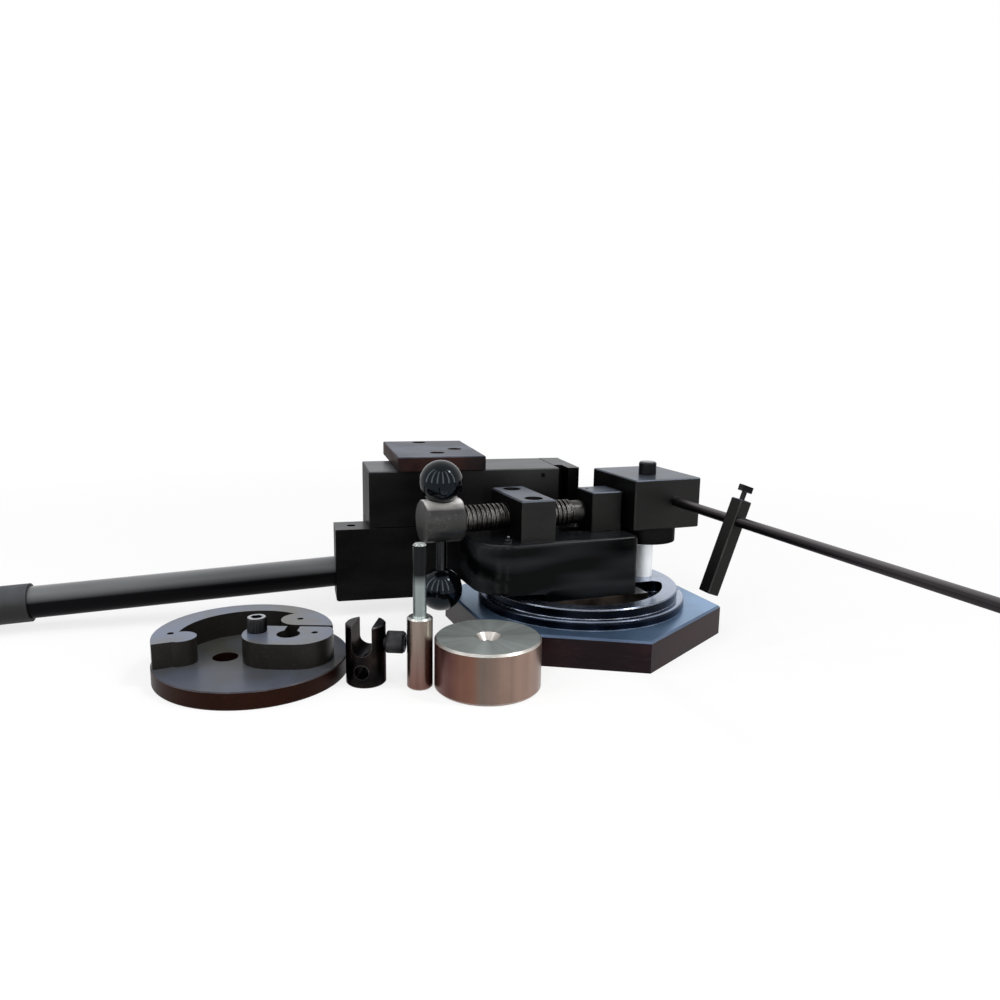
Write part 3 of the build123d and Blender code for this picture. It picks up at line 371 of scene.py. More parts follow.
@dataclass(frozen=True)
class Finish:
    """One finish of the machine, as the values of a material.

    Attributes:
        name: Name of the material.
        colour: Colour of level faces; where it is lighter or bluer than side, that is a painted reflection
            of the sky.
        side: Colour of upright faces; the maroon and brown of the base and the roller are a painted
            reflection of the ground.
        colour_patch: Colour of patches on level faces, the same as colour if left out.
        side_patch: Colour of patches on upright faces, the same as side if left out; on the vise body these
            patches are painted highlights, and on the roller painted reflection bands.
        bare: Colour where edges and scuffs are rubbed through; on the deck and the hub the bright edges are
            also painted highlights.
        level_from: Least rise of a face's normal that counts as level.
        texture: How the surface was made.
        roughness: Least and greatest roughness.
        metallic: Share of metal.
        side_metallic: Share of metal on upright faces, the same as metallic if left out.
        glance: Tint of reflections at a low angle.
        specular: Specular level of what isn't metal.
        wear_width: Breadth of the rubbed edges.
        wear: Share of the edges that is rubbed.
        scuffs: Strength of the scratches.
        grain: Fine grains per metre.
        stretch: How the grain is drawn out along X, Y and Z.
        mottle: Large patches per metre.
        uneven: How far the patches change the colour.
        relief: Depth of the fine relief.
        film: Weight of the thin oil film on level faces.
        film_roughness: Roughness of that film.
        centre: Point on the upright axis of turned marks.
    """

    name: str
    colour: Colour
    side: Colour
    bare: Colour
    colour_patch: Colour | None = None
    side_patch: Colour | None = None
    level_from: float = 0.55
    texture: Texture = Texture.EVEN
    roughness: tuple[float, float] = (0.3, 0.45)
    metallic: float = 1.0
    side_metallic: float | None = None
    glance: Colour = (1.0, 1.0, 1.0)
    specular: float = 0.5
    wear_width: float = 0.9 * MM
    wear: float = 0.4
    scuffs: float = 0.0
    grain: float = 900.0
    stretch: Triple = (1.0, 1.0, 1.0)
    mottle: float = 30.0
    uneven: float = 0.5
    relief: float = 0.04 * MM
    film: float = 0.0
    film_roughness: float = 0.22
    centre: Triple = (0.0, 0.0, 0.0)

    def material(self, effects: SharedEffects) -> bpy.types.Material:
        """Build the material.

        Args:
            effects: The shared node groups.

        Returns:
            The finished material.
        """
        material = bpy.data.materials.new(self.name)
        material.use_nodes = True
        bench = NodeBench(material.node_tree)
        shader = material.node_tree.nodes["Principled BSDF"]

        height, patches = self._relief(bench, effects)
        level = self._place(bench, effects.upward_faces, From=self.level_from).outputs["Mask"]
        # Edges and scuffs take the bare colour: wear, and on the deck and the hub also painted highlights
        # along the edges.
        edges = self._place(bench, effects.edge_wear_and_painted_glints, Width=self.wear_width, Amount=self.wear)
        scuffs = self._place(bench, effects.scuff_lines, Amount=self.scuffs)
        rubbed = bench.math("MAXIMUM", edges.outputs["Mask"], scuffs.outputs["Mask"])

        patchy = bench.remap(patches, *PATCH_SPAN)
        # Level faces take the level colour and upright faces the side colour. A level colour lighter or
        # bluer than the side colour is a painted reflection of the sky, and on the pipe, the grip, the gauge
        # rod and the hub it is a painted highlight along the top.
        tops_tone_and_painted_sky = bench.mix(patchy, self.colour, self.colour_patch or self.colour)
        sides = self.side_colour(bench, patchy)
        tone = bench.remap(patches, *NOISE_SPAN, 1.0 - self.uneven, 1.0 + self.uneven)
        plain = bench.mix(level, sides, tops_tone_and_painted_sky)
        shade = bench.filled("ShaderNodeVectorMath", [plain], operation="SCALE")
        bench.feed(shade.inputs["Scale"], tone)
        bench.feed(shader.inputs["Base Color"], bench.mix(rubbed, shade.outputs["Vector"], self.bare))

        fine = bench.shared(FINE_SHARE, height, patches)
        bench.feed(shader.inputs["Roughness"], bench.remap(fine, *NOISE_SPAN, *self.roughness))
        bump = bench.add("ShaderNodeBump")
        bump.inputs["Strength"].default_value = 1.0
        bump.inputs["Distance"].default_value = self.relief
        bench.feed(bump.inputs["Height"], height)
        bench.feed(shader.inputs["Normal"], bump.outputs["Normal"])

        if self.side_metallic is not None:
            unrubbed = bench.remap(level, 0.0, 1.0, self.side_metallic, self.metallic)
            bench.feed(shader.inputs["Metallic"], bench.math("MAXIMUM", unrubbed, rubbed))
        elif self.metallic < 1.0 and self.bare != self.colour:
            bench.feed(shader.inputs["Metallic"], bench.remap(rubbed, 0.0, 1.0, self.metallic, 1.0))
        else:
            shader.inputs["Metallic"].default_value = self.metallic
        shader.inputs["Specular IOR Level"].default_value = self.specular
        shader.inputs["Specular Tint"].default_value = (*self.glance, 1.0)
        if self.film:
            bench.feed(shader.inputs["Coat Weight"], bench.math("MULTIPLY", level, self.film))
            shader.inputs["Coat Roughness"].default_value = self.film_roughness
        return material

    def _relief(self, bench: NodeBench, effects: SharedEffects) -> tuple[Value, Value]:
        """Make the surface's fine relief.

        Args:
            bench: The material's nodes.
            effects: The shared node groups.

        Returns:
            The height of the relief and the noise of the patches.
        """
        grain = self._place(
            bench, effects.fine_grain, Scale=self.grain, Stretch=self.stretch, Coarse=self.mottle
        ).outputs
        if self.texture is Texture.TURNED:
            marks = self._place(bench, effects.lathe_marks, Centre=self.centre, Scale=self.grain).outputs
            return marks["Rings"], bench.shared(SWEEP_SHARE, marks["Sweep"], grain["Mottle"])
        # On a cast surface the waves give both the bumps and the patches; on the vise body those patches are
        # painted wavy highlights.
        if self.texture is Texture.CAST:
            return bench.math("MULTIPLY_ADD", grain["Grain"], CAST_GRAIN, grain["Waves"]), grain["Waves"]
        return grain["Grain"], grain["Mottle"]

    def side_colour(self, bench: NodeBench, patchy: Value) -> Value:
        """Return the colour of upright faces.

        Args:
            bench: The material's nodes.
            patchy: Mask of the patches.

        Returns:
            Their colour.
        """
        return bench.mix(patchy, self.side, self.side_patch or self.side)

    @staticmethod
    def _place(bench: NodeBench, group: bpy.types.NodeTree, **values: Value) -> bpy.types.Node:
        """Place a group in the material with its own values.

        Args:
            bench: The material's nodes.
            group: The group to place.
            values: Values of its inputs.

        Returns:
            The group's node.
        """
        node = bench.add("ShaderNodeGroup", node_tree=group)
        for title, value in values.items():
            bench.feed(node.inputs[title], value)
        return node


class Along(Enum):
    """The axis that a finish changes along."""

    SCREW = "X"
    HEIGHT = "Z"


@dataclass(frozen=True)
class SteppedFinish(Finish):
    """A finish whose upright faces change colour along an axis; on the wing the steps are painted light, and
    on the roller painted reflection bands.

    Attributes:
        along: The axis that the changes follow.
        steps: Place where each change ends, its breadth and the colour past it.
    """

    along: Along = Along.HEIGHT
    steps: tuple[tuple[float, float, Colour], ...] = ()

    def side_colour(self, bench: NodeBench, patchy: Value) -> Value:
        """Return the colour of upright faces, mixed by their place along the axis.

        Args:
            bench: The material's nodes.
            patchy: Mask of the patches.

        Returns:
            Their colour.
        """
        place = bench.add("ShaderNodeTexCoord").outputs["Object"]
        reach = bench.filled("ShaderNodeSeparateXYZ", [place]).outputs[self.along.value]
        colour = super().side_colour(bench, patchy)
        for end, breadth, beyond in self.steps:
            colour = bench.mix(bench.remap(reach, end - breadth, end), colour, beyond)
        return colour


# What the arm and its wing have in common, and what all cap screws have.
ARM_TONES: dict[str, object] = {
    "colour": (0.09, 0.092, 0.10), "side": (0.0064, 0.0064, 0.0068), "bare": (0.11, 0.105, 0.10),
    "colour_patch": (0.125, 0.13, 0.148), "side_patch": (0.0105, 0.0102, 0.0102),
    "roughness": (0.34, 0.48), "glance": (0.5, 0.5, 0.5), "wear": 0.38, "scuffs": 0.03,
    "stretch": (0.3, 1.0, 1.0), "mottle": 16.0, "uneven": 0.28, "film": 0.35, "film_roughness": 0.26,
}
SCREW_SHEEN: dict[str, object] = {
    "roughness": (0.26, 0.4), "glance": (0.6, 0.62, 0.66), "wear_width": 0.5 * MM, "wear": 0.5, "film": 0.8,
}


# In these finishes a level colour far lighter or bluer than the side colour is a painted reflection of the
# sky on the level faces.
class FinishName(Enum):
    """The finishes that the pieces choose from."""

    # Painted sky reflection in the blue level faces, and painted ground reflection in the maroon sides.
    PLATE_PAINTED_SKY_AND_GROUND = Finish(
        "plate_painted_sky_and_ground", colour=(0.14, 0.23, 0.38), side=(0.0092, 0.0047, 0.0060), bare=(0.22, 0.15, 0.11),
        colour_patch=(0.18, 0.29, 0.46), side_patch=(0.0155, 0.0060, 0.0074), roughness=(0.26, 0.38),
        metallic=0.8, side_metallic=0.0, glance=(0.86, 0.94, 1.0), specular=0.08, wear=0.3, scuffs=0.03,
        stretch=(0.3, 0.3, 1.0), mottle=24.0, uneven=0.3, film=0.3, film_roughness=0.2,
    )
    # The light blue of the deck's level faces is a painted reflection of the sky; its bright edges are wear
    # and painted highlights.
    TURNED_DECK = Finish(
        "turned_deck", colour=(0.27, 0.33, 0.45), side=(0.0045, 0.006, 0.0095), bare=(0.50, 0.51, 0.54),
        texture=Texture.TURNED, roughness=(0.2, 0.34), glance=(0.85, 0.90, 1.0), wear_width=1.4 * MM,
        wear=0.85, relief=0.006 * MM, film=0.9, film_roughness=0.12,
    )
    TAN_FOOT = Finish(
        "tan_foot", colour=(0.05, 0.055, 0.065), side=(0.016, 0.0125, 0.0100), bare=(0.24, 0.18, 0.13),
        side_patch=(0.050, 0.036, 0.026), roughness=(0.35, 0.5), film=0.6,
    )
    BLACK_BLOCK = Finish(
        "black_block", colour=(0.11, 0.13, 0.172), side=(0.024, 0.0236, 0.0234), bare=(0.12, 0.115, 0.11),
        colour_patch=(0.125, 0.148, 0.195), side_patch=(0.018, 0.018, 0.0175), roughness=(0.32, 0.46),
        glance=(0.5, 0.5, 0.5), wear=0.38, scuffs=0.04, stretch=(0.35, 1.0, 1.0), uneven=0.28, film=0.4,
    )
    ARM_STEEL = Finish("arm_steel", **ARM_TONES)
    # Painted light: the step lightens the wing's upright faces towards the nose end.
    WING_STEEL_PAINTED_LIGHT = SteppedFinish(
        "wing_steel_painted_light", **ARM_TONES, along=Along.SCREW, steps=((-0.035, 0.09, (0.031, 0.031, 0.031)),),
    )
    DRILLED_PLATE = Finish(
        "drilled_plate", colour=(0.065, 0.09, 0.135), side=(0.014, 0.0115, 0.0125), bare=(0.13, 0.11, 0.10),
        colour_patch=(0.105, 0.13, 0.17), side_patch=(0.024, 0.0125, 0.011), roughness=(0.34, 0.5),
        glance=(0.45, 0.42, 0.42), wear=0.4, scuffs=0.04, uneven=0.28, film=0.25,
    )
    # The lighter wavy patches on the body's upright faces are painted highlights.
    PAINTED_CASTING = Finish(
        "painted_casting", colour=(0.007, 0.008, 0.009), side=(0.0012, 0.0014, 0.0016),
        bare=(0.10, 0.10, 0.10), side_patch=(0.0100, 0.0112, 0.0124), texture=Texture.CAST,
        roughness=(0.17, 0.25), metallic=0.0, specular=0.06, wear=0.25, grain=300.0,
        stretch=(0.15, 0.4, 1.0), mottle=60.0, uneven=0.3, relief=4.0 * MM, film=0.5,
    )
    # The light level faces and broad bright edges of the hub are wear and a painted highlight.
    HUB_WEAR_AND_PAINTED_GLEAM = Finish(
        "hub_wear_and_painted_gleam", colour=(0.62, 0.61, 0.58), side=(0.012, 0.0118, 0.0115), bare=(0.80, 0.79, 0.77),
        colour_patch=(0.80, 0.79, 0.77), side_patch=(0.020, 0.0195, 0.0185), level_from=0.6,
        roughness=(0.28, 0.42), metallic=0.25, glance=(0.6, 0.6, 0.62), specular=0.35, wear_width=3.0 * MM,
        wear=0.75, scuffs=0.03, stretch=(0.5, 1.0, 1.0), mottle=60.0, relief=0.1 * MM, film=0.4,
    )
    SCREW_THREAD = Finish(
        "screw_thread", colour=(0.05, 0.048, 0.046), side=(0.030, 0.029, 0.028), bare=(0.42, 0.40, 0.38),
        roughness=(0.25, 0.4), wear_width=0.8 * MM, wear=0.7, scuffs=0.1,
    )
    # The light upper side of the handle is a painted highlight.
    PIPE_PAINT = Finish(
        "pipe_paint", colour=(0.125, 0.132, 0.138), side=(0.0022, 0.0022, 0.0027), bare=(0.10, 0.10, 0.10),
        level_from=0.15, texture=Texture.CAST, roughness=(0.24, 0.34), metallic=0.0, specular=0.035,
        wear=0.2, grain=500.0, stretch=(0.12, 1.0, 1.0), mottle=25.0, relief=0.3 * MM, film=1.0,
        film_roughness=0.3,
    )
    # The light upper side of the gauge rod is a painted highlight.
    GAUGE_BAR = Finish(
        "gauge_bar", colour=(0.16, 0.15, 0.155), side=(0.036, 0.033, 0.035), bare=(0.22, 0.21, 0.21),
        level_from=0.5, roughness=(0.3, 0.44), glance=(0.6, 0.58, 0.6), wear=0.3, stretch=(1.0, 0.1, 1.0),
        film=0.4,
    )
    # The light upper side of the grip is a painted highlight.
    GRIP_RUBBER = Finish(
        "grip_rubber", colour=(0.046, 0.050, 0.056), side=(0.0065, 0.0066, 0.0072),
        bare=(0.046, 0.050, 0.056), level_from=0.1, roughness=(0.55, 0.72), metallic=0.0, specular=0.3,
        wear=0.0, grain=1600.0, relief=0.08 * MM,
    )
    BALL_GLOSS = Finish(
        "ball_gloss", colour=(0.0012, 0.0015, 0.002), side=(0.0010, 0.0012, 0.0016),
        bare=(0.0012, 0.0015, 0.002), roughness=(0.07, 0.12), metallic=0.0, glance=(0.70, 0.86, 1.0),
        specular=0.2, wear=0.0, grain=700.0, relief=0.004 * MM,
    )
    OILED_BAR = Finish(
        "oiled_bar", colour=(0.05, 0.052, 0.055), side=(0.026, 0.027, 0.029), bare=(0.30, 0.30, 0.29),
        roughness=(0.2, 0.32), glance=(0.6, 0.62, 0.64), wear=0.4, stretch=(1.0, 1.0, 0.15), film=0.5,
    )
    STEPPED_PIN = SteppedFinish(
        "stepped_pin", colour=(0.60, 0.65, 0.63), side=(0.17, 0.092, 0.078), bare=(0.74, 0.75, 0.73),
        roughness=(0.2, 0.34), wear=0.5, grain=700.0, stretch=(1.0, 1.0, 0.05), mottle=70.0, uneven=0.45,
        steps=(
            (0.050, 0.045, (0.19, 0.152, 0.128)),
            (0.066, 0.002, (0.21, 0.235, 0.235)),
            (0.104, 0.010, (0.012, 0.0135, 0.014)),
        ),
    )
    # The roller's brown sides, their patches round the axis and the steps along X are painted reflection
    # bands of the ground around it.
    TURNED_BRIGHT = SteppedFinish(
        "turned_bright", colour=(0.66, 0.73, 0.71), side=(0.080, 0.030, 0.025), bare=(0.80, 0.80, 0.77),
        side_patch=(0.115, 0.052, 0.046), texture=Texture.TURNED, roughness=(0.29, 0.32), metallic=0.85,
        wear_width=1.2 * MM, wear=0.8, grain=420.0, uneven=0.35, relief=0.001 * MM,
        centre=(-0.15361, -0.12367, 0.0), along=Along.SCREW,
        steps=(
            (-0.190, 0.006, (0.155, 0.074, 0.052)),
            (-0.176, 0.006, (0.128, 0.097, 0.080)),
            (-0.160, 0.014, (0.250, 0.168, 0.136)),
        ),
    )
    PLATED_BAR = Finish(
        "plated_bar", colour=(0.92, 0.94, 0.94), side=(0.92, 0.94, 0.94), bare=(0.88, 0.88, 0.86),
        roughness=(0.34, 0.48), metallic=0.2, wear=0.5, stretch=(1.0, 1.0, 0.1), uneven=0.15,
    )
    SCROLL_STEEL = Finish(
        "scroll_steel", colour=(0.135, 0.17, 0.26), side=(0.016, 0.0148, 0.0130), bare=(0.22, 0.21, 0.20),
        colour_patch=(0.115, 0.115, 0.11), side_patch=(0.0095, 0.0088, 0.0077), roughness=(0.3, 0.44),
        metallic=0.3, glance=(0.55, 0.55, 0.55), specular=0.25, wear=0.42, scuffs=0.03, mottle=12.0,
        uneven=0.25, film=0.4,
    )
    SCROLL_DISC = Finish(
        "scroll_disc", colour=(0.068, 0.068, 0.060), side=(0.0070, 0.0017, 0.0007), bare=(0.22, 0.20, 0.18),
        colour_patch=(0.074, 0.085, 0.112), side_patch=(0.012, 0.0032, 0.0014), roughness=(0.32, 0.46),
        metallic=0.25, glance=(0.55, 0.5, 0.5), specular=0.12, wear=0.4, scuffs=0.02, mottle=11.0,
        uneven=0.25, film=0.2,
    )
    OILED_HOLDER = Finish(
        "oiled_holder", colour=(0.030, 0.032, 0.038), side=(0.0070, 0.0065, 0.0070),
        bare=(0.14, 0.13, 0.125), side_patch=(0.016, 0.0115, 0.0105), roughness=(0.22, 0.34),
        glance=(0.5, 0.48, 0.48), wear=0.5, mottle=40.0, film=0.4,
    )
    BLACK_SCREW = Finish(
        "black_screw", colour=(0.022, 0.024, 0.028), side=(0.012, 0.012, 0.013), bare=(0.20, 0.20, 0.20),
        **SCREW_SHEEN,
    )
    BRIGHT_HEAD = Finish(
        "bright_head", colour=(0.42, 0.44, 0.47), side=(0.013, 0.013, 0.014), bare=(0.30, 0.30, 0.30),
        **SCREW_SHEEN,
    )
    BRONZE_BUSH = Finish(
        "bronze_bush", colour=(0.50, 0.33, 0.14), side=(0.46, 0.30, 0.13), bare=(0.62, 0.44, 0.22),
        roughness=(0.3, 0.45), wear=0.3, uneven=0.25,
    )


class Paintbox:
    """Makes each finish's material once and hands it out."""

    def __init__(self) -> None:
        """Start with the shared effects and no materials."""
        self._effects = SharedEffects()
        self._made: dict[FinishName, bpy.types.Material] = {}

    def material(self, name: FinishName) -> bpy.types.Material:
        """Give out the material of a finish, made at its first use.

        Args:
            name: The finish.

        Returns:
            Its material.
        """
        if name not in self._made:
            self._made[name] = name.value.material(self._effects)
        return self._made[name]


class MeshStack:
    """A mesh in the making: rings skinned one to the next, and swept ridges."""

    def __init__(self) -> None:
        """Start with nothing in the mesh."""
        self._points: list[Vector] = []
        self._faces: list[list[int]] = []

    def skin(self, rings: Sequence[Ring]) -> None:
        """Skin rings of one length in order, and cap the first and the last.

        Args:
            rings: The rings, each going the same way round.
        """
        first = len(self._points)
        count = len(rings[0])
        for ring in rings:
            self._points.extend(ring)
        for row in range(len(rings) - 1):
            low = first + row * count
            for k in range(count):
                after = (k + 1) % count
                self._faces.append([low + k, low + after, low + count + after, low + count + k])
        last = first + (len(rings) - 1) * count
        self._faces.append([first + k for k in reversed(range(count))])
        self._faces.append([last + k for k in range(count)])

    def mesh_object(self, name: str, place: Matrix) -> bpy.types.Object:
        """Turn the rings into an object.

        Args:
            name: Name of the piece.
            place: Where the mesh's own axes stand in the frame.

        Returns:
            The new object, smooth but for its sharp edges.
        """
        mesh = bpy.data.meshes.new(name)
        mesh.from_pydata([place @ point for point in self._points], [], self._faces)
        mesh.shade_smooth()
        mesh.set_sharp_from_angle(angle=SHARP_ANGLE)
        mesh.update()
        piece = bpy.data.objects.new(name, mesh)
        bpy.context.scene.collection.objects.link(piece)
        return piece


def circle(radius: float, height: float, count: int) -> Ring:
    """Return a round ring at a height along the axis.

    Args:
        radius: Radius of the ring.
        height: Place along the axis.
        count: Number of points.

    Returns:
        The ring's points.
    """
    turns = (2 * math.pi * k / count for k in range(count))
    return [Vector((radius * math.cos(t), radius * math.sin(t), height)) for t in turns]


def hexagon(corner: float, height: float, count: int) -> Ring:
    """Return a six-sided ring at a height along the axis.

    Args:
        corner: Radius of its corners.
        height: Place along the axis.
        count: Number of points, a multiple of 6.

    Returns:
        The ring's points.
    """
    flat = corner * math.cos(math.pi / 6)
    ring = []
    for k in range(count):
        turn = 2 * math.pi * k / count
        radius = flat / math.cos(turn % (math.pi / 3) - math.pi / 6)
        ring.append(Vector((radius * math.cos(turn), radius * math.sin(turn), height)))
    return ring


def standing(place: Vector, along: Vector) -> Matrix:
    """Return a matrix that stands a mesh's Z axis at a place.

    Args:
        place: Where the mesh's origin goes.
        along: Where its Z axis points.

    Returns:
        The matrix.
    """
    return Matrix.Translation(place) @ along.to_track_quat("Z", "Y").to_matrix().to_4x4()


@dataclass(frozen=True)
class CutThread:
    """A thread cut in a rod, with its ridge swept along the helix.

    Attributes:
        pitch: Travel of one turn.
        depth: Height of the ridge.
        crest: Breadth of its top.
        foot: Breadth of its foot.
        steps: Points in one turn.
        fade: Share of a turn in which the ridge rises at its ends.
        sunk: Share of its height that its foot is sunk in the core.
    """

    pitch: float
    depth: float
    crest: float
    foot: float
    steps: int
    fade: float = 0.25
    sunk: float = 0.1

    def cut(self, stack: MeshStack, radius: float, start: float, end: float) -> None:
        """Sweep the ridge on a core that is thinner by its depth.

        Args:
            stack: The mesh to add it to.
            radius: Radius over the ridge.
            start: Where it begins along the axis.
            end: Where it ends.
        """
        core = radius - self.depth
        root = core - self.sunk * self.depth
        fade = self.fade * self.steps
        total = int((end - start - self.foot) / self.pitch * self.steps)
        rings = []
        for step in range(total + 1):
            turn = 2 * math.pi * step / self.steps
            middle = start + self.foot / 2 + self.pitch * step / self.steps
            top = core + self.depth * min(1.0, step / fade, (total - step) / fade)
            profile = ((self.foot, root), (self.crest, top), (-self.crest, top), (-self.foot, root))
            rings.append([
                Vector((reach * math.cos(turn), reach * math.sin(turn), middle + breadth / 2))
                for breadth, reach in profile
            ])
        stack.skin(rings)


@dataclass(frozen=True)
class CapScrew:
    """A cap screw with a knurled head and a hexagon socket.

    Attributes:
        head_d: Diameter of the head.
        head_h: Height of the head.
        shank_d: Diameter of the shank.
        length: Length of the shank.
        knurls: Grooves round the head, a multiple of 6.
        edge: Rounding of the head's top edge.
        groove: Depth of a groove, as a share of its breadth.
        knurl_foot: Height where the grooves begin, as a share of the head's.
        knurl_end: Distance of their other end from the top, in roundings of the edge.
        band: Depth of the plain bands beside the grooves, as a share of the head's diameter.
        edge_middle: Middle of the rounded edge, inwards and down, as shares of its rounding.
        tip: Chamfer of the shank's tip, as a share of its diameter.
        socket: Corner radius of the socket, as a share of the shank's diameter.
        socket_edge: Chamfer of the socket's edge.
        drill_tip: Radius and depth of the cone under the socket, as shares of its radius.
    """

    head_d: float
    head_h: float
    shank_d: float
    length: float
    knurls: int = 42
    edge: float = 0.9 * MM
    groove: float = 0.28
    knurl_foot: float = 0.05
    knurl_end: float = 1.6
    band: float = 0.03
    edge_middle: tuple[float, float] = (0.35, 0.3)
    tip: float = 0.06
    socket: float = 0.45
    socket_edge: float = 0.3 * MM
    drill_tip: tuple[float, float] = (0.2, 0.25)

    def knurled(self, height: float, count: int) -> Ring:
        """Return a ring of the head's grooved wall.

        Args:
            height: Place along the axis.
            count: Number of points.

        Returns:
            The ring's points.
        """
        depth = self.groove * math.pi * self.head_d / self.knurls
        per_groove = count // self.knurls
        ring = circle(self.head_d / 2, height, count)
        for k, point in enumerate(ring):
            share = abs(2 * (k % per_groove) / per_groove - 1)
            point.xy *= 1 - 2 * depth * (1 - share) / self.head_d
        return ring

    def add_to(self, stack: MeshStack) -> None:
        """Add the screw, with its seat at height 0 and its head above.

        Args:
            stack: The mesh to add it to.
        """
        count = 4 * self.knurls
        top = self.head_h
        shank = self.shank_d / 2
        tip = self.tip * self.shank_d
        plain = self.head_d / 2 - self.band * self.head_d
        inwards, down = (share * self.edge for share in self.edge_middle)
        socket = self.socket * self.shank_d
        tip_r, tip_h = (share * socket for share in self.drill_tip)
        stack.skin([
            circle(shank - tip, -self.length, count),
            circle(shank, -self.length + tip, count),
            circle(shank, 0.0, count),
            circle(plain, 0.0, count),
            self.knurled(self.knurl_foot * top, count),
            self.knurled(top - self.knurl_end * self.edge, count),
            circle(plain, top - self.edge, count),
            circle(plain - inwards, top - down, count),
            circle(plain - self.edge, top, count),
            hexagon(socket + self.socket_edge, top, count),
            hexagon(socket, top - self.socket_edge, count),
            hexagon(socket, top / 2, count),
            circle(tip_r, top / 2 - tip_h, count),
        ])


def middle_of(node: str) -> Vector:
    """Return the middle of a node's box."""
    low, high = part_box(node)
    return (low + high) / 2


@dataclass
class SubAssembly:
    """A group of the machine's pieces that are dressed together.

    Attributes:
        paints: Where the finishes come from.
        nodes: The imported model's objects by name.
        FINISHES: The nodes of the group by their finish.
    """

    FINISHES: ClassVar[dict[FinishName, tuple[str, ...]]] = {}

    paints: Paintbox
    nodes: dict[str, bpy.types.Object]

    def dress(self) -> None:
        """Give every node of the group its finish."""
        for finish, names in self.FINISHES.items():
            for name in names:
                self.paint(self.nodes[name], finish)
                LOG.info("%s: %s", name, finish.value.name)

    def build(self) -> None:
        """Build the pieces that the group adds to its nodes, none if it has no more detail."""

    def paint(self, piece: bpy.types.Object, finish: FinishName) -> None:
        """Put one finish on all of a piece."""
        piece.data.materials.clear()
        piece.data.materials.append(self.paints.material(finish))

    def add(self, piece: bpy.types.Object, finish: FinishName, body: str, slot: str, *replaced: str) -> None:
        """Take a new piece into the group.

        Args:
            piece: The piece, in its place.
            finish: Its finish.
            body: The body that it moves with.
            slot: The record's material slot of its finish, which is not used.
            replaced: The nodes that it stands for.
        """
        self.paint(piece, finish)
        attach(piece, body)
        if replaced:
            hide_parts(*replaced)
        LOG.info("%s: %s, on %s", piece.name, finish.value.name, body)

    def screws(self, node: str, screw: CapScrew, places: Iterable[Vector], along: Vector, body: str,
               finish: FinishName = FinishName.BLACK_SCREW) -> None:
        """Put detailed screws in the place of a node.

        Args:
            node: The node that they stand for.
            screw: The screw's sizes.
            places: Where each head's seat is.
            along: Where the heads point.
            body: The body that they move with.
            finish: Their finish.
        """
        for count, place in enumerate(places):
            stack = MeshStack()
            screw.add_to(stack)
            piece = stack.mesh_object(f"{node}_knurled_{count}", standing(place, along))
            self.add(piece, finish, body, "black_screws", node)


@dataclass
class BaseAndVice(SubAssembly):
    """The hexagonal base with its deck, the vice body, the nut and the square die.

    Attributes:
        nut_screw: The screws that hold the nut block.
    """

    nut_screw: CapScrew = CapScrew(18 * MM, 12 * MM, 12 * MM, 28 * MM)

    FINISHES = {
        FinishName.PLATE_PAINTED_SKY_AND_GROUND: ("base_plate",),
        FinishName.TAN_FOOT: ("foot_plate",),
        FinishName.TURNED_DECK: ("deck_ring",),
        FinishName.PAINTED_CASTING: ("vise_body",),
        FinishName.BLACK_BLOCK: ("nut_block", "die_block", "die_key"),
        FinishName.BLACK_SCREW: ("main_bolts", "die_cap", "rod_set_screw"),
        FinishName.PLATED_BAR: ("pivot_pin", "thrust_washer"),
        FinishName.BRIGHT_HEAD: ("grease_nipple",),
    }

    def build(self) -> None:
        """Build the nut block's two screws."""
        low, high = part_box("nut_bolts")
        seat = high.z - self.nut_screw.head_h
        reach = self.nut_screw.head_d / 2
        middle = middle_of("nut_bolts").x
        places = [Vector((middle, y, seat)) for y in (low.y + reach, high.y - reach)]
        self.screws("nut_bolts", self.nut_screw, places, UP, "base")


